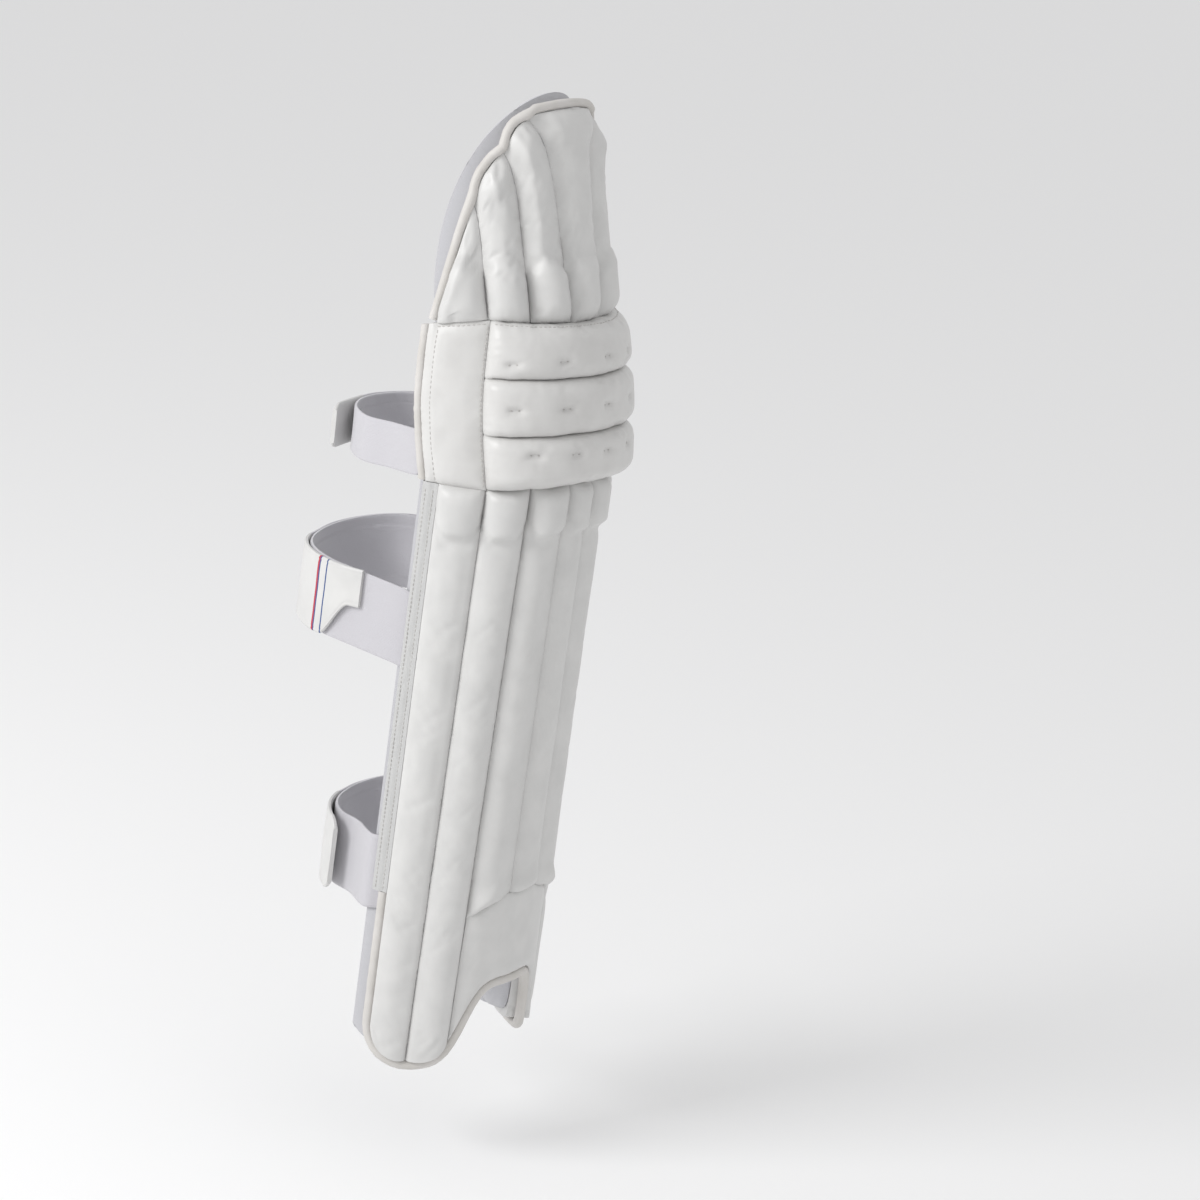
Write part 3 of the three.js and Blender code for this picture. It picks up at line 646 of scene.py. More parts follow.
def shapedSheet(columns, rows):  # a closed slab with a grid on both faces; returns it with its shares
    bpy.ops.object.select_all(action="DESELECT")
    bpy.ops.mesh.primitive_grid_add(x_subdivisions=columns, y_subdivisions=rows, size=1)
    piece = bpy.context.active_object
    bpy.ops.object.mode_set(mode="EDIT")
    bpy.ops.mesh.select_all(action="SELECT")
    bpy.ops.mesh.extrude_region_move(TRANSFORM_OT_translate={"value": (0, 0, -1)})
    bpy.ops.object.mode_set(mode="OBJECT")
    flat = meshPoints(piece)
    return piece, flat[:, 0] + 0.5, flat[:, 1] + 0.5, flat[:, 2] > -0.5


def outward(piece):
    only(piece)
    bpy.ops.object.mode_set(mode="EDIT")
    bpy.ops.mesh.select_all(action="SELECT")
    bpy.ops.mesh.normals_make_consistent(inside=False)
    bpy.ops.object.mode_set(mode="OBJECT")


def buildPanel(panel):
    columns = max(6, round(panel["size"][0] / panel["step"]))
    rows = max(6, round(panel["size"][1] / panel["step"]))
    piece, share, rise, front = shapedSheet(columns, rows)
    arc, height, out = panel["place"](share, rise, True)
    setUv(piece, np.stack([arc, height], -1) / 10)
    back = panel["backOut"](arc, height) if panel["backOut"] else np.full_like(out, -form["shell"])
    points = padPoint(arc, height, np.where(front, out, back))
    if "move" in panel:
        start = panel["place"](share, rise, False)[2]
        lowered = padPoint(arc, height, out - padding["flatter"] * np.maximum(start, 0))
        swollen = lowered + sampled(panel["move"], share, rise)
        points = np.where(front[:, None], swollen, points)
    setPoints(piece, points)
    outward(piece)
    dress(piece, panel["name"] + "_soft", panel["finish"], [panel["name"]])


# Shapes shared by the panels
def along1d(value, size, seed):  # smooth noise along a seam
    return softNoise(np.asarray(value, float), np.zeros(np.shape(value)), size, seed)


def softMin(first, second, width):  # the lesser of two, rounded where they cross
    gap = np.asarray(first - second, float)
    return 0.5 * (first + second - np.sqrt(gap * gap + 4 * width * width))


def pucker(distance, along, seed, depth=0.45, reach=5.0, size=2.6):  # small creases that start at a seam
    fade = np.exp(-np.maximum(distance, 0) / reach)
    return depth * fade * along1d(along, size, seed)


def rounded(distance, radius, fullness=0.5):  # 0 at an edge, 1 from one radius in; 0.5 is a quarter circle
    part = np.clip(1 - distance / radius, 0, 1)
    return (1 - part * part) ** fullness


def domed(share, fullness, crestAt=0.5):  # cross-section of a rib, with its crest moved to one side
    moved = np.clip(share, 0, 1) ** (math.log(0.5) / math.log(crestAt))
    return np.power(np.clip(4 * moved * (1 - moved), 0, 1), fullness)


# Ribs of the shin
ribs = {
    "inner": {"from": "centre", "to": "inner", "crest": 9.4, "full": 1.0, "at": 0.66, "footed": True},
    "side": {"from": "inner", "to": "outer", "crest": 8.2, "full": 0.6, "at": 0.43, "footed": False},
    "outer": {"from": "outer", "to": "edge", "crest": 5.6, "full": 0.66, "at": 0.42, "footed": False},
}
ribEnds = {  # in mm; a bag hangs under the knee rolls, with an arched lower edge
    "kneeBulge": 6.0, "kneeLength": 36, "kneeArch": 20, "kneeEdge": 8,
    "underBag": 1.3,
    "footBulge": 2.8, "footLength": 16,
    "topFrom": 26, "topLength": 22, "topEdge": 9,
    "centreCrest": 8,
    "edgeRise": 3.0,                         # of the rear edge, over the tape
    "floor": 0.14,                           # share of the crest that is left at a seam
    "valley": 0.5, "valleyWidth": 4.0,       # the seams draw the leather in
}


def bagUnder(profile, fromTop):  # bulge of a rib's bag, and the dent below it
    low = ribEnds["kneeLength"] - ribEnds["kneeArch"] * (1 - np.minimum(1, 1.25 * profile))
    bulge = ribEnds["kneeBulge"] * (1 - smooth((fromTop - low) / ribEnds["kneeEdge"] + 0.5))
    return bulge - ribEnds["underBag"] * bell(fromTop - low - 6, 4.5)


def shinRib(row, sign, seed):
    def place(share, rise, fine):
        span = share if sign > 0 else 1 - share
        footArc = blend(seamArc(row["from"], 0), seamArc(row["to"], 0), span)
        foot = instepSeam(footArc) + seamGap if row["footed"] else shinFoot(footArc)
        topArc = blend(seamArc(row["from"], form["kneeBottom"]), seamArc(row["to"], form["kneeBottom"]), span)
        top = form["kneeBottom"] + rollSag(topArc) - seamGap
        height = blend(foot, top, rise)
        start = seamArc(row["from"], height) + seamGap
        stop = seamArc(row["to"], height) - seamGap
        arc = blend(start, stop, span)
        fromTop, fromFoot = top - height, height - foot
        nearTop = 1 - smooth((fromTop - ribEnds["topFrom"]) / ribEnds["topLength"])
        profile = blend(domed(span, row["full"], row["at"]), domed(span, 0.6), nearTop)
        crest = row["crest"] + bagUnder(domed(span, 0.6), fromTop)
        if row["footed"]:
            crest = crest + ribEnds["footBulge"] * (1 - smooth((fromFoot - 6) / ribEnds["footLength"]))
            crest = crest * rounded(fromFoot + 1, 9)
        crest = crest * (0.3 + 0.7 * rounded(fromTop, ribEnds["topEdge"], 0.7))
        edge = ribEnds["edgeRise"] * span if row["to"] == "edge" else 0
        out = crest * (ribEnds["floor"] + (1 - ribEnds["floor"]) * profile) + edge
        sideway = np.minimum(arc - start, stop - arc)
        out = out - ribEnds["valley"] * (1 - rounded(sideway, ribEnds["valleyWidth"], 0.8))
        if fine:
            out = out + pucker(sideway, height, seed, 0.2) + pucker(fromTop, arc, seed + 1, 0.5, 7)
            out = out + 0.18 * softNoise(arc, height * 0.45, 15, seed + 2) * profile
            if row["footed"]:
                out = out + pucker(fromFoot, arc, seed + 3, 0.45)
        return sign * arc, height, out

    return place


def shinCentre(share, rise, fine):
    footArc = (2 * share - 1) * seamArc("centre", 0)
    foot = instepSeam(footArc) + seamGap
    topArc = (2 * share - 1) * seamArc("centre", form["kneeBottom"])
    top = form["kneeBottom"] + rollSag(topArc) - seamGap
    height = blend(foot, top, rise)
    half = seamArc("centre", height) - seamGap
    arc = (2 * share - 1) * half
    profile = domed(share, 0.95)
    fromTop, fromFoot = top - height, height - foot
    crest = ribEnds["centreCrest"] + bagUnder(profile, fromTop)
    crest = crest + ribEnds["footBulge"] * (1 - smooth((fromFoot - 6) / ribEnds["footLength"]))
    out = crest * rounded(fromFoot + 1, 9) * (0.3 + 0.7 * rounded(fromTop, ribEnds["topEdge"], 0.7)) * profile
    if fine:
        out = out + pucker(half - np.abs(arc), height, 301, 0.2) + pucker(fromTop, arc, 302, 0.5, 7)
        out = out + 0.18 * softNoise(arc, height * 0.45, 15, 303) * profile
    return arc, height, out


addPanel("shin_rib_centre", shinCentre, (30, 322), "ribLeather", "leather", swell=0.8)
for sideIndex, (side, sign) in enumerate(sides):
    for ribIndex, (rib, row) in enumerate(ribs.items()):
        width = form["halfWrap"] * (seams[row["to"]][0] - seams[row["from"]][0])
        length = 330 if row["footed"] else 445
        place = shinRib(row, sign, 310 + 40 * sideIndex + 10 * ribIndex)
        addPanel(f"shin_rib_{rib}_{side}", place, (width, length), "ribLeather", "leather",
                 swell=0.9, slack=0.004)


# Plain panel over the instep
instep = {"base": 1.2, "puff": 3.0, "edge": 9}


def instepPlace(share, rise, fine):
    span = 2 * share - 1
    footArc = span * (instepHalf - seamGap)
    foot, top = shinFoot(footArc), instepSeam(footArc) - seamGap
    height = blend(foot, top, rise)
    arc = span * (seamArc("inner", height) - seamGap)
    inside = np.minimum((1 - np.abs(span)) * instepHalf, np.minimum(height - foot, top - height))
    out = instep["base"] + instep["puff"] * rounded(inside, instep["edge"])
    if fine:
        out = out + pucker(top - height, arc, 401, 0.5, 6) + pucker(height - foot, arc, 402, 0.35, 6, 5)
        out = out + 0.3 * softNoise(arc, height, 16, 403)
    return arc, height, out


addPanel("instep_panel", instepPlace, (110, 75), "ribLeather", "leather", swell=0.8)

# Knee rolls: three padded bolsters, tufted with short stitches and drawn in at their ends
rolls = {
    "crestLow": 29.5, "crestTop": 20.5,
    "endPower": 7,
    "wingOut": 3.2,
    "creaseDepth": 10.5, "creaseWidth": 10.5,
    "underDepth": 25, "underWidth": 13,      # the lowest roll's underside
    "overDepth": 15, "overWidth": 17,        # the highest roll's top
    "pit": 3.0, "pitSize": 2.5, "tuftHalf": 2.3,
}
tufts = {  # arc and height of the pairs of short stitches in each roll
    "lower": [(-53, 488), (-26, 488), (0, 488), (26, 488), (53, 488)],
    "middle": [(-66, 518), (-33, 518), (0, 518), (33, 518), (66, 518)],
    "upper": [(-67, 549), (-34, 549), (3, 549), (34, 549), (67, 549)],
}
crownSeams = [form["halfWrap"] * seams[name][2] for name in ("centre", "inner", "outer")]
crownSeams = crownSeams + [-arc for arc in crownSeams]


def rollPlace(index, name):
    def place(share, rise, fine):
        span = 2 * share - 1
        arc = span * (rollEdge((index + rise) / form["rollCount"]) - seamGap)
        lower = form["kneeBottom"] + rollSag(arc) + seamGap
        upper = kneeTop - rollSag(arc) - seamGap
        if fine:
            lower = lower + 0.35 * along1d(arc, 9, 505)
            upper = upper + 0.5 * along1d(arc, 7, 506)
        pitch = (upper - lower) / form["rollCount"]
        height = lower + (index + rise) * pitch
        body = np.sqrt(np.maximum(0, 1 - np.abs(span) ** rolls["endPower"]))
        full = blend(rolls["crestLow"], rolls["crestTop"], (index + rise) / form["rollCount"])
        fromLow, fromHigh = rise * pitch, (1 - rise) * pitch
        lowDepth, lowWidth = rolls["creaseDepth"], rolls["creaseWidth"]
        highDepth, highWidth = lowDepth, lowWidth
        if index == 0:
            lowDepth, lowWidth = rolls["underDepth"], rolls["underWidth"]
        if index == form["rollCount"] - 1:
            highDepth, highWidth = rolls["overDepth"], rolls["overWidth"]
        dip = lowDepth * (1 - rounded(fromLow, lowWidth)) + highDepth * (1 - rounded(fromHigh, highWidth))
        edge = rolls["wingOut"] * np.minimum(rounded(fromLow, 6), rounded(fromHigh, 6))
        out = blend(edge, full - dip, body)
        if fine:
            for tuftArc, tuftHeight in tufts[name]:
                for aside in (-rolls["tuftHalf"], rolls["tuftHalf"]):
                    away = np.hypot(arc - tuftArc - aside, (height - tuftHeight) * 1.15)
                    out = out - rolls["pit"] * np.exp(-(away / rolls["pitSize"]) ** 1.5)
                away = np.hypot(arc - tuftArc, height - tuftHeight)
                turn = np.arctan2(height - tuftHeight, arc - tuftArc)
                rays = bell(np.sin(2.5 * turn + tuftArc), 0.22)
                creases = rays * bell(away - 6, 5)
                out = out - 0.35 * creases
            out = out + pucker(fromLow, arc, 511 + index, 0.5, 5, 3)
            out = out + pucker(fromHigh, arc, 521 + index, 0.5, 5, 3)
            endDistance = (1 - np.abs(span)) * rollHalf
            out = out + pucker(endDistance, height, 531 + index, 0.5, 7, 2.5)
            out = out + 0.25 * softNoise(arc, height, 24, 541 + index) * body
            if index == form["rollCount"] - 1:
                for seam in crownSeams:  # creases that fan down from the crown's seams
                    for lean in (-0.75, -0.25, 0.3, 0.8):
                        line = arc - seam - lean * fromHigh
                        out = out - 0.45 * bell(line, 1.6) * np.exp(-fromHigh / 13)
        return arc, height, out

    return place


for rollIndex, rollName in enumerate(tufts):
    addPanel(f"knee_roll_{rollName}", rollPlace(rollIndex, rollName), (185, 62), "kneeLeather",
             "knee_leather", swell=1.6, fill=0.8, pins=tufts[rollName], slack=0.006)


# Wings beside the rolls
wings = {"base": 2.2, "puff": 3.0, "edge": 9, "rowIn": 7.5, "groove": 1.1, "grooveWidth": 1.8}


def wingPlace(sign, seed):
    def place(share, rise, fine):
        span = share if sign > 0 else 1 - share
        start, stop = rollEdge(rise) + seamGap, wingEdge(rise) - seamGap
        arc = blend(start, stop, span)
        height = blend(form["kneeBottom"] + seamGap, kneeTop - seamGap, rise)
        inside = np.minimum(arc - start, stop - arc)
        ends = np.minimum(height - form["kneeBottom"], kneeTop - height)
        out = wings["base"] + wings["puff"] * rounded(np.minimum(inside, ends), wings["edge"], 0.75)
        row = stop - wings["rowIn"] - arc
        out = out - wings["groove"] * bell(row, wings["grooveWidth"])
        if fine:
            out = out + pucker(inside, height, seed, 0.35) + pucker(ends, arc, seed + 1, 0.35)
            out = out + 0.4 * softNoise(arc, height, 16, seed + 2)
            out = out + 0.18 * bell(row, 3.5) * np.sin(height * 2 * math.pi / 3.6)
        return sign * arc, height, out

    return place


for seed, (side, sign) in zip((610, 620), sides):
    addPanel(f"knee_wing_{side}", wingPlace(sign, seed), (50, 122), "kneeLeather", "knee_leather", swell=0.7)

# Crown: ribs that puff out over the rolls, then run as soft tents up to the bound edge
crown = {
    "edge": (
        (0, 1), (0.14, 0.997), (0.36, 0.982), (0.45, 0.925), (0.54, 0.833), (0.67, 0.715), (0.755, 0.605),
        (0.81, 0.462), (0.936, 0.212), (1.046, 0),
    ),
    "crests": {"centre": 8.2, "inner": 10.4, "side": 9.4, "outer": 6.4},
    "crestAt": {"inner": 0.66, "side": 0.5, "outer": 0.42},
    "flare": (0.38, 9),             # seams climb nearly straight, then spread at the bound edge
    "bagBulge": 5.8, "bagLength": 36, "bagArch": 14,
    "puff": 1.8, "puffAt": 15, "puffSize": 8,
    "binding": 3.4, "bindingGap": 0.3, "bindingReach": 1.04,
    "kinks": (0.36, 0.54, 0.755),   # where the binding is drawn in at a seam
    "kinkDepth": 3.0,
}


def kinkNear(share):
    near = np.zeros(np.shape(share))
    for kink in crown["kinks"]:
        near = np.maximum(near, bell((np.abs(share) - kink) * form["halfWrap"], 4))
    return near


def crownEdge(share):
    places, rises = zip(*crown["edge"])
    return form["crownHeight"] * np.interp(np.abs(share), places, rises)


def crownRib(rib, sign, seed):
    both = rib == "centre"
    row = ribs.get(rib, {"from": "middle", "to": "centre"})
    fromRow, toRow = seams[row["from"]], seams[row["to"]]
    inset = seamGap / form["halfWrap"]
    tipStop = blend(fromRow[3], toRow[3], 0.94) if row["to"] == "edge" else toRow[3] - inset

    def place(share, rise, fine):
        span = share if sign > 0 else 1 - share
        if both:
            footShare, tipShare = (2 * share - 1) * (toRow[2] - inset), (2 * share - 1) * tipStop
            profile = domed(share, 0.72)
            tent = softMin(2.6 * (1 - np.abs(2 * share - 1)), 1.0, 0.05)
        else:
            footShare = blend(fromRow[2] + inset, toRow[2] - inset, span)
            tipShare = blend(fromRow[3] + inset, tipStop, span)
            profile = domed(span, 0.72)
            crestAt = crown["crestAt"][rib]
            tent = 1.08 * softMin(1.05 * span / crestAt, 1.05 * (1 - span) / (1 - crestAt), 0.05)
        foot = kneeTop - rollSag(footShare * form["halfWrap"]) + seamGap
        if fine:
            foot = foot + 0.5 * along1d(footShare * form["halfWrap"], 7, 506)
        tip = kneeTop + crownEdge(tipShare) - seamGap - crown["kinkDepth"] * kinkNear(tipShare)
        height = blend(foot, tip, rise)
        steady, late = crown["flare"]
        arc = form["halfWrap"] * blend(footShare, tipShare, steady * rise + (1 - steady) * rise**late)
        fromFoot, fromTip = height - foot, tip - height
        bag = 1 - smooth((fromFoot - crown["bagLength"] + crown["bagArch"] * (1 - profile)) / 14)
        ridge = blend(profile, 0.15 * profile + 0.85 * tent, 1 - bag)
        puff = crown["puff"] * bell(fromTip - crown["puffAt"], crown["puffSize"])
        crest = (crown["crests"][rib] + puff) * (0.3 + 0.7 * rounded(fromTip, 14, 0.7))
        crest = crest + crown["bagBulge"] * bag
        out = crest * (0.28 + 0.72 * rounded(fromFoot, 14, 0.75)) * ridge
        if row["to"] == "edge":
            out = out + ribEnds["edgeRise"] * span
        if fine:
            width = form["halfWrap"] * (toRow[3] - fromRow[3])
            sideway = np.minimum(span, 1 - span) * width
            out = out + pucker(sideway, height, seed, 0.35, 5, 3)
            out = out + pucker(fromFoot, arc, seed + 1, 0.7, 8, 2.4)
            out = out + pucker(fromTip, arc, seed + 2, 0.5, 8, 3.4)
            out = out + 0.28 * softNoise(arc, height * 0.6, 13, seed + 3)
        return (arc if both else sign * arc), height, out

    return place


addPanel("crown_rib_centre", crownRib("centre", 1, 700), (60, 145), "ribLeather", "leather",
         swell=1.2, slack=0.012)
for sideIndex, (side, sign) in enumerate(sides):
    for ribIndex, rib in enumerate(ribs):
        place = crownRib(rib, sign, 710 + 40 * sideIndex + 10 * ribIndex)
        addPanel(f"crown_rib_{rib}_{side}", place, (38, 135), "ribLeather", "leather", swell=1.4, slack=0.012)

# Linings: quilted cushions behind the panels
linings = {
    "shinReach": 113 + 13 + 9, "shinDepth": 16,
    "kneeReach": 123.5 + 2, "kneeDepth": 14,
    "gap": 0.4, "edge": 3, "edgeWidth": 13,
    "channel": 44,          # mm between the quilted channels of the inner face
    "channelDepth": 4, "channelWidth": 3.2,
}


def cushion(arc, height, inside, thick, seed, creases):  # quilted inner face; creases is None for a plain one
    half = linings["channel"] / 2
    away = (arc + half) % linings["channel"] - half
    depth = linings["edge"] + (thick - linings["edge"]) * rounded(inside, linings["edgeWidth"])
    depth = depth - linings["channelDepth"] * bell(away, linings["channelWidth"])
    if creases:
        depth = depth + pucker(inside, arc + height, seed, *creases)
        depth = depth + 0.5 * softNoise(arc, height, 17, seed + 1)
    return arc, height, -form["shell"] - linings["gap"] - depth


def shinLiningPlace(share, rise, fine):
    span = 2 * share - 1
    arc = span * linings["shinReach"]
    foot = hemLine(arc * form["halfWrap"] / linings["shinReach"]) + 3 * form["piping"]
    top = form["kneeBottom"] - 2 * linings["gap"]
    height = blend(foot, top, rise)
    inside = np.minimum((1 - np.abs(span)) * linings["shinReach"], np.minimum(height - foot, top - height))
    return cushion(arc, height, inside, linings["shinDepth"], 801, (0.5, 6, 3) if fine else None)


def kneeLiningPlace(share, rise, fine):
    span = np.sin((2 * share - 1) * math.pi / 2)
    arc = span * linings["kneeReach"]
    foot = form["kneeBottom"] + linings["gap"]
    top = kneeTop + form["crownLiningHeight"] * np.sqrt(np.maximum(0, 1 - span * span))
    height = blend(foot, top, rise)
    sideway = (1 - np.abs(span)) * linings["kneeReach"] * 2
    inside = np.minimum(sideway, np.minimum(height - foot, top - height))
    return cushion(arc, height, inside, linings["kneeDepth"], 811, (1.1, 12, 5) if fine else None)


def liningFront(arc, height):
    return np.full_like(arc, -form["shell"] - linings["gap"])


for name, place, size in (("shin", shinLiningPlace, (270, 440)), ("crown", kneeLiningPlace, (250, 275))):
    addPanel(f"{name}_lining", place, size, "liningCloth", "lining", swell=2.0, fill=0.6,
             backOut=liningFront, inward=True, step=2.6, slack=0.02)

swellPanels()
for panel in panels:
    buildPanel(panel)
print("padded panels built:", len(panels))


# Round pipings: a cylinder's rings laid along a path
def shapedTube(rings, sides, place):
    bpy.ops.object.select_all(action="DESELECT")
    bpy.ops.mesh.primitive_cylinder_add(vertices=sides, radius=0.5, depth=1)
    piece = bpy.context.active_object
    cutUpright(piece, rings - 1)
    flat = meshPoints(piece)
    along, turn = flat[:, 2] + 0.5, np.arctan2(flat[:, 1], flat[:, 0])
    points = place(along, turn)
    setPoints(piece, points)
    setUv(piece, np.stack([turn * 0.4, along * rings * 0.3], -1))
    outward(piece)
    return piece


def hemPath(share):  # arc, height and inward direction of the hem piping's middle
    side = form["tapeFoot"] - 0.4 - form["hemCorner"]
    total = side + hemReach
    walked = np.abs(share) * total
    sign = np.where(share < 0, -1.0, 1.0)
    radius = form["hemCorner"] - form["piping"]
    slope = hemLine(walked + 0.5) - hemLine(walked - 0.5)
    length = np.hypot(1, slope)
    turn = (walked - cornerStart) / form["hemCorner"] * math.pi / 2
    rising, turning = walked > hemReach, walked > cornerStart

    def pick(straight, corner, plain):
        return np.where(rising, straight, np.where(turning, corner, plain))

    arc = pick(
        hemReach - form["piping"],
        cornerStart + radius * np.sin(turn),
        walked - form["piping"] * slope / length,
    )
    height = pick(
        form["hemCorner"] + walked - hemReach,
        form["hemCorner"] - radius * np.cos(turn) + hemLine(cornerStart),
        hemLine(walked) + form["piping"] / length,
    )
    slopeArc = pick(-1.0, -np.sin(turn), -slope / length)
    slopeUp = pick(0.0, np.cos(turn), 1 / length)
    return sign * arc, height, sign * slopeArc, slopeUp


def hemTube(along, turn):
    arc, height, slopeArc, slopeUp = hemPath(2 * along - 1)
    ripple = along1d(along * 1000, 4, 901) * 0.16
    radius = form["piping"] + ripple * (1 + np.cos(turn - 1))
    p, q = radius * np.cos(turn), radius * np.sin(turn)
    return padPoint(arc + slopeArc * p, height + slopeUp * p, form["pipingOut"] + q)


dress(shapedTube(420, 18, hemTube), "hem_piping_round", "pipingLeather", ["hem_piping"])


wingPiping = {"radius": 3.5, "out": -1}


def wingTube(sign):
    def place(along, turn):
        radius = wingPiping["radius"] + 0.14 * along1d(along * 123, 3.5, 911) * (1 + np.cos(turn))
        arc = wingEdge(along) + wingPiping["radius"] + radius * np.cos(turn)
        height = blend(form["kneeBottom"] + 0.4, kneeTop - 0.4, along)
        return padPoint(sign * arc, height, wingPiping["out"] + radius * np.sin(turn))

    return place


for side, sign in sides:
    dress(shapedTube(80, 18, wingTube(sign)), f"knee_wing_piping_{side}_round", "pipingLeather",
          [f"knee_wing_piping_{side}"])


# Rounded binding of the crown: gathered at each seam, fuller between them
def crownTube(along, turn):
    swing = (2 * along - 1) * math.pi / 2
    share = crown["bindingReach"] * np.sin(swing)
    step = 0.012 * np.cos(swing) + 0.002
    slope = (crownEdge(share + step) - crownEdge(share - step)) / (2 * step * form["halfWrap"])
    length = np.hypot(1, slope)
    gather = kinkNear(share)
    walk = share * form["halfWrap"] + crownEdge(share) * 0.8
    fold = along1d(walk, 2.2, 921) * (0.12 + 0.35 * gather)
    radius = crown["binding"] + 0.35 * gather + fold * (0.6 + 0.4 * np.cos(turn))
    p, q = radius * np.cos(turn), radius * np.sin(turn) * 1.1
    lift = crown["binding"] + p + crown["bindingGap"] - crown["kinkDepth"] * gather
    arc = share * form["halfWrap"] - slope / length * lift
    height = kneeTop + crownEdge(share) + lift / length
    return padPoint(arc, height, -0.6 + 1.2 * gather + q)


dress(shapedTube(300, 20, crownTube), "crown_binding_round", "pipingLeather", ["crown_binding"])


# Woven tape folded over the rear edges of the shin
tape = {
    "start": 113.3, "width": 12.6, "middle": -2.5, "half": 5.0,
    "rows": {"inner": 0.28, "outer": 0.74},  # stitch rows, as shares of the width
    "groove": 0.45, "grooveShare": 0.09,
    "wave": 0.5, "creasedFrom": 380,         # height above which the tape is more creased
}
for seed, (side, sign) in zip((931, 932), sides):
    piece, share, rise, front = shapedSheet(10, 160)
    arc = tape["start"] + share * tape["width"]
    height = blend(form["tapeFoot"], form["kneeBottom"] - 0.4, rise)
    half = tape["half"] * (0.5 + 0.5 * rounded((1 - share) * tape["width"], 5))
    wave = tape["wave"] * softNoise(arc * 0.8, height * 0.8 + arc, 8, seed)
    wave = wave * (0.4 + 0.8 * smooth((height - tape["creasedFrom"]) / 60))
    groove = tape["groove"] * sum(bell(share - row, tape["grooveShare"]) for row in tape["rows"].values())
    out = tape["middle"] + np.where(front, half - groove + wave, -half + groove)
    setPoints(piece, padPoint(sign * arc, height, out))
    setUv(piece, np.stack([arc, height], -1) / 10)
    outward(piece)
    dress(piece, f"side_tape_{side}_woven", "tapeWeave", [f"side_tape_{side}"])
print("pipings, binding and tapes built")


# Stitches: short lengths of thread that follow the seams
seamStitch = {"length": 2.7, "pitch": 3.7, "radius": 0.42}
tapeStitch = {"length": 2.5, "pitch": 3.4, "radius": 0.42}
tuftStitch = {"length": 1.5, "pitch": 1.7, "radius": 0.4}
stitchSink = 0.05
stitchIn = {"wingRear": 7.8, "wingFront": 1.6, "wingTop": 2.4, "rollTop": 2.2}  # mm from each edge


def stitchRow(points, normals, name, stitch):
    length, pitch, radius = stitch["length"], stitch["pitch"], stitch["radius"]
    steps = np.linalg.norm(np.diff(points, axis=0), axis=1) / mm
    walked = np.concatenate([[0], np.cumsum(steps)])
    count = int(walked[-1] / pitch)
    starts = (np.arange(count) + 0.5) * pitch
    bpy.ops.object.select_all(action="DESELECT")
    bpy.ops.mesh.primitive_cylinder_add(vertices=8, radius=0.5, depth=1)
    piece = bpy.context.active_object
    cutUpright(piece, 3)
    unit = meshPoints(piece)
    place = unit[:, 2] * 2                               # from -1 to 1 along a stitch
    narrow = np.sqrt(np.maximum(0.12, 1 - place * place))
    lift = radius * 0.5 * (1 - place * place) - stitchSink
    polygons = [tuple(p.vertices) for p in piece.data.polygons]
    bpy.data.objects.remove(piece)
    allPoints, allFaces = [], []

    def at(where):
        return np.stack([np.interp(where, walked, points[:, k]) for k in range(3)], -1)

    for number, start in enumerate(starts):
        low, high = at(start - length / 2), at(start + length / 2)
        along = high - low
        along = along / np.linalg.norm(along)
        normal = np.array([np.interp(start, walked, normals[:, k]) for k in range(3)])
        normal = normal - along * normal.dot(along)
        normal = normal / np.linalg.norm(normal)
        across = np.cross(along, normal)
        body = at(start + place * length / 2)
        body = body + across * (unit[:, :1] * 2 * radius * narrow[:, None]) * mm
        body = body + normal * ((unit[:, 1] * 2 * radius * narrow + lift) * mm)[:, None]
        allPoints.append(body)
        allFaces.extend(tuple(v + number * len(unit) for v in face) for face in polygons)
    mesh = bpy.data.meshes.new(name)
    mesh.from_pydata(np.concatenate(allPoints).tolist(), [], allFaces)
    row = bpy.data.objects.new(name, mesh)
    bpy.context.scene.collection.objects.link(row)
    outward(row)
    dress(row, name, "thread")


def surfaceRow(panelName, arcs, heights):  # a line on a finished panel, from its nearest points
    corners = meshPoints(bpy.data.objects[panelName + "_soft"])
    base = padPoint(arcs, heights, 0.0)
    normals = padPoint(arcs, heights, 8.0) - base
    normals = normals / np.linalg.norm(normals, axis=1, keepdims=True)
    placed = []
    for point, normal in zip(base, normals):
        offset = corners - point
        up = offset @ normal
        side = np.linalg.norm(offset - up[:, None] * normal, axis=1)
        near = np.argsort(side + np.where(up < -6 * mm, 1.0, 0.0))[:4]
        weight = 1 / (side[near] + 0.2 * mm)
        placed.append(point + normal * float((up[near] * weight).sum() / weight.sum()))
    return np.array(placed), normals


def stitchOnPanel(panelName, arcs, heights, name, stitch=seamStitch):
    points, normals = surfaceRow(panelName, arcs, heights)
    stitchRow(points, normals, name, stitch)


for side, sign in sides:
    wing = f"knee_wing_{side}"
    rise = np.linspace(0.015, 0.985, 60)
    wingHeights = blend(form["kneeBottom"], kneeTop, rise)
    rear, ahead = wingEdge(rise) - stitchIn["wingRear"], rollEdge(rise) + stitchIn["wingFront"]
    stitchOnPanel(wing, sign * rear, wingHeights, f"wing_stitches_rear_{side}")
    stitchOnPanel(wing, sign * ahead, wingHeights, f"wing_stitches_front_{side}")
    wingArcs = np.linspace(rollHalf + 3, form["kneeWrap"] - 4, 24)
    topHeights = np.full(24, kneeTop - stitchIn["wingTop"])
    stitchOnPanel(wing, sign * wingArcs, topHeights, f"wing_stitches_top_{side}")
rollArcs = np.linspace(-rollHalf + 2, rollHalf - 2, 80)
rollHeights = kneeTop - rollSag(rollArcs) - stitchIn["rollTop"]
stitchOnPanel("knee_roll_upper", rollArcs, rollHeights, "roll_stitches_top")
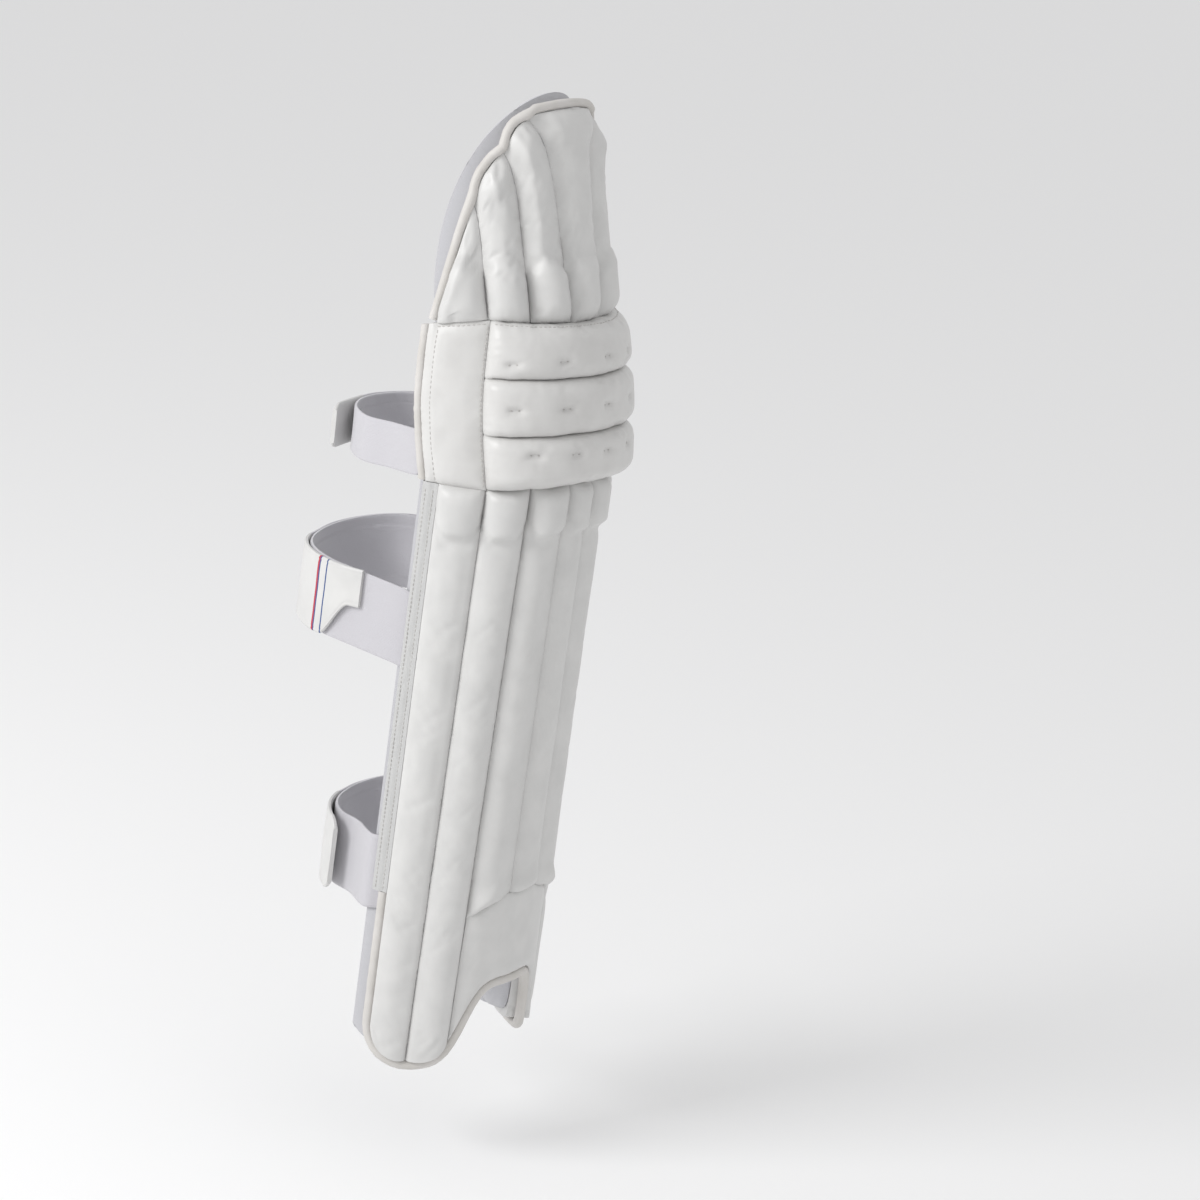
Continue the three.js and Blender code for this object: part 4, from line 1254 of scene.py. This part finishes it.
for rollName, places in tufts.items():
    for number, (tuftArc, tuftHeight) in enumerate(places):
        for part, aside in (("a", -rolls["tuftHalf"]), ("b", rolls["tuftHalf"])):
            tuftArcs = tuftArc + aside + np.linspace(-0.9, 0.9, 5)
            tuftHeights = np.full(5, float(tuftHeight))
            stitchOnPanel(f"knee_roll_{rollName}", tuftArcs, tuftHeights, f"tuft_{rollName}_{number}{part}",
                          tuftStitch)
for side, sign in sides:
    for name, share in tape["rows"].items():
        tapeHeights = np.linspace(form["tapeFoot"] + 2, form["kneeBottom"] - 2, 150)
        tapeArcs = np.full(150, sign * (tape["start"] + share * tape["width"]))
        tapeNormals = padPoint(tapeArcs, tapeHeights, 1.0) - padPoint(tapeArcs, tapeHeights, 0.0)
        tapePoints = padPoint(tapeArcs, tapeHeights, 2.1)
        stitchRow(tapePoints, tapeNormals, f"tape_stitches_{name}_{side}", tapeStitch)
print("stitches sewn")

# Straps: bands of webbing along a smooth plan curve, upright
web = {
    "thick": 2.6, "gap": 0.8, "tabThick": 3.6, "bar": 5.5, "ringDepth": 4.4, "tabGap": 0.6,
    "clearance": 0.4, "loopEnd": -235, "loopStep": 25, "ringAngle": 112, "holeCorner": 1.4, "soften": 1.3,
}
curveSteps = 10  # points of a band's curve to each of its plan's points
web["rootOut"] = -form["shell"] + web["thick"] / 2
web["turn"] = math.hypot(web["bar"], web["ringDepth"]) / 2 + 2 * web["clearance"] + web["thick"] / 2
straps = {
    "knee": {"root": 478, "back": 466, "width": 34, "x": -4, "y": 30, "radius": 64, "joins": -90,
             "start": 123.5 + 8 + 0.8, "edge": 123.5 + 8 + 0.8 + 5},
    "calf": {"root": 337, "back": 345, "width": 58, "x": -8, "y": 45, "radius": 71, "joins": -80,
             "start": 114.2, "edge": 136.5},
    "ankle": {"root": 151, "back": 145, "width": 58, "x": 0, "y": 12, "radius": 60, "joins": -100,
              "start": 114.2, "edge": 136.5},
}
tabs = {
    "knee": {"start": -172, "stop": -138, "stand": 12},
    "calf": {"start": -157, "stop": -78, "stand": 0, "cutFrom": 0.66, "cutRun": 0.26},
    "ankle": {"start": -165, "stop": -108, "stand": 9},
}
rings = {
    "knee": {"height": 466, "tall": 46, "long": 21, "reach": 12},
    "calf": {"height": 354, "tall": 70, "long": 23, "reach": 22},
    "ankle": {"height": 153, "tall": 70, "long": 21, "reach": 12},
}


def sectionPlan(arc, out):
    return padPoint(arc, 0.0, out)[:2] / mm


def onLoop(strap, degrees, radius):
    angle = math.radians(degrees)
    return np.array((strap["x"] + radius * math.sin(angle), strap["y"] - radius * math.cos(angle)))


def rootPoints(name, sign):
    strap = straps[name]
    arcs = (blend(strap["start"], strap["edge"], share) for share in (0, 0.5, 1))
    return [sectionPlan(sign * arc, web["rootOut"]) for arc in arcs]


def ringPlan(name):
    strap, ring = straps[name], rings[name]
    root = rootPoints(name, 1)[2]
    ahead = onLoop(strap, web["ringAngle"], strap["radius"] + web["turn"] - web["thick"] / 2) - root
    ahead = ahead / np.linalg.norm(ahead)
    front = root + ahead * (ring["reach"] + web["bar"] / 2)
    return ahead, front, front + ahead * (ring["long"] - web["bar"])


def turnPoints(centre, ahead, facing):
    outwards = np.array((ahead[1], -ahead[0]))
    points = []
    for degrees in (-90, -45, 0, 45, 90):
        angle = math.radians(degrees)
        forward = ahead * facing * web["turn"] * math.cos(angle)
        points.append(centre + forward + outwards * web["turn"] * math.sin(angle))
    return points


def smoothCurve(points):  # a centripetal curve through the points
    points = [np.asarray(p, float) for p in points]
    points = [2 * points[0] - points[1]] + points + [2 * points[-1] - points[-2]]
    result = []
    for i in range(1, len(points) - 2):
        p0, p1, p2, p3 = points[i - 1:i + 3]
        d0, d1, d2 = (max(np.linalg.norm(b - a) ** 0.5, 1e-4) for a, b in ((p0, p1), (p1, p2), (p2, p3)))
        t1 = ((p1 - p0) / d0 - (p2 - p0) / (d0 + d1) + (p2 - p1) / d1) * d1
        t2 = ((p2 - p1) / d1 - (p3 - p1) / (d1 + d2) + (p3 - p2) / d2) * d1
        last = i == len(points) - 3
        for w in np.arange(0, 1 + (1e-6 if last else -1e-6), 1 / curveSteps):
            square = 3 * p2 - 3 * p1 - 2 * t1 - t2
            cube = 2 * p1 - 2 * p2 + t1 + t2
            result.append(p1 + t1 * w + square * w**2 + cube * w**3)
    return np.array(result)


def leanBack(height):
    return np.interp(height, spineHeights, spineBack)


def bandPiece(plan, thick, columns, edges, relief):
    curve = smoothCurve(plan)
    ahead = np.gradient(curve, axis=0)
    ahead = ahead / np.linalg.norm(ahead, axis=1, keepdims=True)
    normal = np.stack([ahead[:, 1], -ahead[:, 0]], -1)
    walked = np.concatenate([[0], np.cumsum(np.linalg.norm(np.diff(curve, axis=0), axis=1))])
    piece, across, along, front = shapedSheet(columns, len(curve) - 1)
    row = np.round(along * (len(curve) - 1)).astype(int)
    low, high = edges(along)
    height = blend(low, high, across)
    breadth = high - low
    rim = np.minimum(across, 1 - across) * breadth
    half = thick / 2 * (0.45 + 0.55 * rounded(rim, thick * 0.6))
    lift = relief(across * breadth, walked[row], breadth)
    offset = np.where(front, half + lift, -half)
    place = curve[row] + normal[row] * offset[:, None]
    points = np.stack([place[:, 0], place[:, 1] + leanBack(height), height - form["hemDatum"]], -1) * mm
    setPoints(piece, points)
    setUv(piece, np.stack([across * breadth, walked[row]], -1) / 10)
    outward(piece)
    return piece


webLook = {"margin": 7.5, "pile": 0.45, "groove": 0.35}


def webRelief(seed):
    def relief(across, walk, breadth):
        rim = np.minimum(across, breadth - across)
        strip = smooth((rim - webLook["margin"]) / 1.2)
        edge = bell(rim - webLook["margin"], 0.7)
        rough = 0.12 * softNoise(across, walk, 3.2, seed) + 0.3 * softNoise(across, walk, 21, seed + 1)
        return webLook["pile"] * strip - webLook["groove"] * edge + rough * strip

    return relief


def strapPiece(name, seed):
    strap, ring = straps[name], rings[name]
    inner = strap["radius"]
    outer = inner + web["thick"] + web["gap"]
    ahead, front, rear = ringPlan(name)
    plan = rootPoints(name, -1)
    degrees = strap["joins"]
    while degrees >= web["loopEnd"]:
        plan.append(onLoop(strap, degrees, inner))
        degrees -= web["loopStep"]
    ringIndex = len(plan) + 2
    plan += turnPoints(rear, ahead, -1)
    tabStart = tabs[name]["start"]
    degrees = web["loopEnd"]
    while degrees < tabStart - 8:
        plan.append(onLoop(strap, degrees, outer))
        degrees += web["loopStep"]
    plan.append(onLoop(strap, tabStart, outer))
    ringAt = ringIndex / (len(plan) - 1)

    def edges(along):
        toRing = 1 - smooth((np.abs(along - ringAt) - 0.14) / 0.2)
        behind = blend(strap["root"], strap["back"], smooth(along / 0.25))
        level = blend(behind, ring["height"], toRing)
        return level - strap["width"] / 2, level + strap["width"] / 2

    piece = bandPiece(plan, web["thick"], 44, edges, webRelief(seed))
    dress(piece, f"{name}_strap_web", "webbing", [f"{name}_strap"])


def tabPiece(name, seed):
    strap, tab = straps[name], tabs[name]
    radius = strap["radius"] + web["thick"] / 2 + web["gap"] + web["tabThick"] / 2
    plan = []
    for share in np.arange(0, 1.001, 0.125):
        turn = blend(tab["start"] + web["tabGap"], tab["stop"], share)
        plan.append(onLoop(strap, turn, radius + tab["stand"] * share * share))
    half = strap["width"] / 2

    def edges(along):
        if name == "calf":
            low = strap["back"] - half + half * smooth((along - tab["cutFrom"]) / tab["cutRun"])
            return low, np.full_like(along, strap["back"] + half)
        tip = np.maximum(0, along - 0.85) / 0.15
        corner = half * 0.8 * (1 - np.sqrt(1 - 0.5 * tip * tip))
        return strap["back"] - half + corner, strap["back"] + half - corner

    def relief(across, walk, breadth):
        rim = np.minimum(across, breadth - across)
        return -0.35 * bell(rim - 3, 0.8) + 0.2 * softNoise(across, walk, 14, seed)

    piece = bandPiece(plan, web["tabThick"], 40, edges, relief)
    finish = "calfTab" if name == "calf" else "ribLeather"
    dress(piece, f"{name}_tab_faced", finish, [f"{name}_tab"])


def stubPiece(name, nodeName, low, high, rootShift, finish, slot, seed):
    ring = rings[name]
    ahead, front, rear = ringPlan(name)
    outwards = np.array((ahead[1], -ahead[0]))
    fold = min(ring["reach"] * 0.6, 14)
    plan = rootPoints(name, 1) + turnPoints(front, ahead, 1)
    plan.append(front - ahead * fold + outwards * web["turn"] * 0.9)

    def edges(along):
        shift = rootShift * (1 - smooth(along / 0.45))
        return low + shift, high + shift

    def relief(across, walk, breadth):
        rim = np.minimum(across, breadth - across)
        if slot == "elastic":
            cords = 0.35 * np.abs(np.sin(across * math.pi / 2.2))
            return cords + 0.15 * softNoise(across * 2, walk, 2.5, seed)
        return -0.3 * bell(rim - 4, 0.8) + 0.1 * softNoise(across, walk, 4, seed)

    piece = bandPiece(plan, web["thick"], 40, edges, relief)
    dress(piece, f"{nodeName}_band", finish, [nodeName])


def ringPiece(name):
    ring = rings[name]
    ahead, front, rear = ringPlan(name)
    middle = (front + rear) / 2
    half = (ring["long"] / 2, web["ringDepth"] / 2, ring["tall"] / 2)

    def block(size, depth, corner):
        bpy.ops.object.select_all(action="DESELECT")
        bpy.ops.mesh.primitive_cube_add(size=2)
        piece = bpy.context.active_object
        setPoints(piece, meshPoints(piece) * np.array((size[0], depth, size[1])) * mm)
        chooseEdges(piece, 1, depth * mm)
        bpy.ops.mesh.bevel(offset=corner * mm, segments=8, affect="EDGES")
        bpy.ops.object.mode_set(mode="OBJECT")
        return piece

    frameBlock = block((half[0], half[2]), half[1], web["bar"])
    hole = block((half[0] - web["bar"], half[2] - web["bar"]), half[1] * 2, web["holeCorner"])
    cutter = frameBlock.modifiers.new("opening", "BOOLEAN")
    cutter.object = hole
    cutter.operation = "DIFFERENCE"
    cutter.solver = "EXACT"
    soften = frameBlock.modifiers.new("soften", "BEVEL")
    soften.width = web["soften"] * mm
    soften.segments = 4
    soften.limit_method = "ANGLE"
    soften.angle_limit = math.radians(50)
    only(frameBlock)
    bpy.ops.object.modifier_apply(modifier="opening")
    bpy.ops.object.modifier_apply(modifier="soften")
    bpy.data.objects.remove(hole)
    points = meshPoints(frameBlock) / mm
    across = np.array((ahead[1], -ahead[0]))
    plan = middle + points[:, :1] * ahead + points[:, 1:2] * across
    height = points[:, 2] + ring["height"] - form["hemDatum"]
    setPoints(frameBlock, np.stack([plan[:, 0], plan[:, 1] + leanBack(ring["height"]), height], -1) * mm)
    outward(frameBlock)
    dress(frameBlock, f"{name}_ring_moulded", "ringPlastic", [f"{name}_ring"])


def stripedTab(name, stripes):  # a leather with coloured bars across the band, by its UV
    material = materials["ribLeather"].copy()
    material.name = name
    tree = material.node_tree
    shader = tree.nodes["Principled BSDF"]
    place = addNode(tree, "ShaderNodeTexCoord")
    parts = addNode(tree, "ShaderNodeSeparateXYZ", {"Vector": place.outputs["UV"]})
    colour = shader.inputs["Base Color"].links[0].from_socket
    for start, stop, tint in stripes:
        inside = math2(tree, "MULTIPLY", math2(tree, "GREATER_THAN", parts.outputs[1], start),
                       math2(tree, "LESS_THAN", parts.outputs[1], stop))
        mix = addNode(tree, "ShaderNodeMix", {"Factor": inside}, data_type="RGBA")
        tree.links.new(colour, mix.inputs["A"])
        mix.inputs["B"].default_value = (*tint, 1)
        colour = mix.outputs["Result"]
    tree.links.new(colour, shader.inputs["Base Color"])
    return material


materials["calfTab"] = stripedTab("calfTab", [
    (5.95, 6.14, (0.46, 0.035, 0.06)), (6.14, 6.28, (0.03, 0.07, 0.22)), (6.95, 7.08, (0.03, 0.07, 0.22)),
])
for seed, name in enumerate(straps):
    strapPiece(name, 1001 + 10 * seed)
    tabPiece(name, 1101 + 10 * seed)
    ringPiece(name)
for name in ("knee", "ankle"):
    middle = rings[name]["height"]
    reach = rings[name]["tall"] / 2 - web["bar"] - 1
    stubPiece(name, f"{name}_stub", middle - reach, middle + reach, 0, "webbing", "webbing", 1201)
middle = rings["calf"]["height"]
elastic = {"near": 1.2, "far": 27.2, "upperRoot": 6, "lowerRoot": -24}  # mm from the ring's middle
stubPiece("calf", "calf_elastic_upper", middle + elastic["near"], middle + elastic["far"],
          elastic["upperRoot"], "elasticKnit", "elastic", 1301)
stubPiece("calf", "calf_elastic_lower", middle - elastic["far"], middle - elastic["near"],
          elastic["lowerRoot"], "elasticKnit", "elastic", 1302)
print("straps, tabs and rings built")
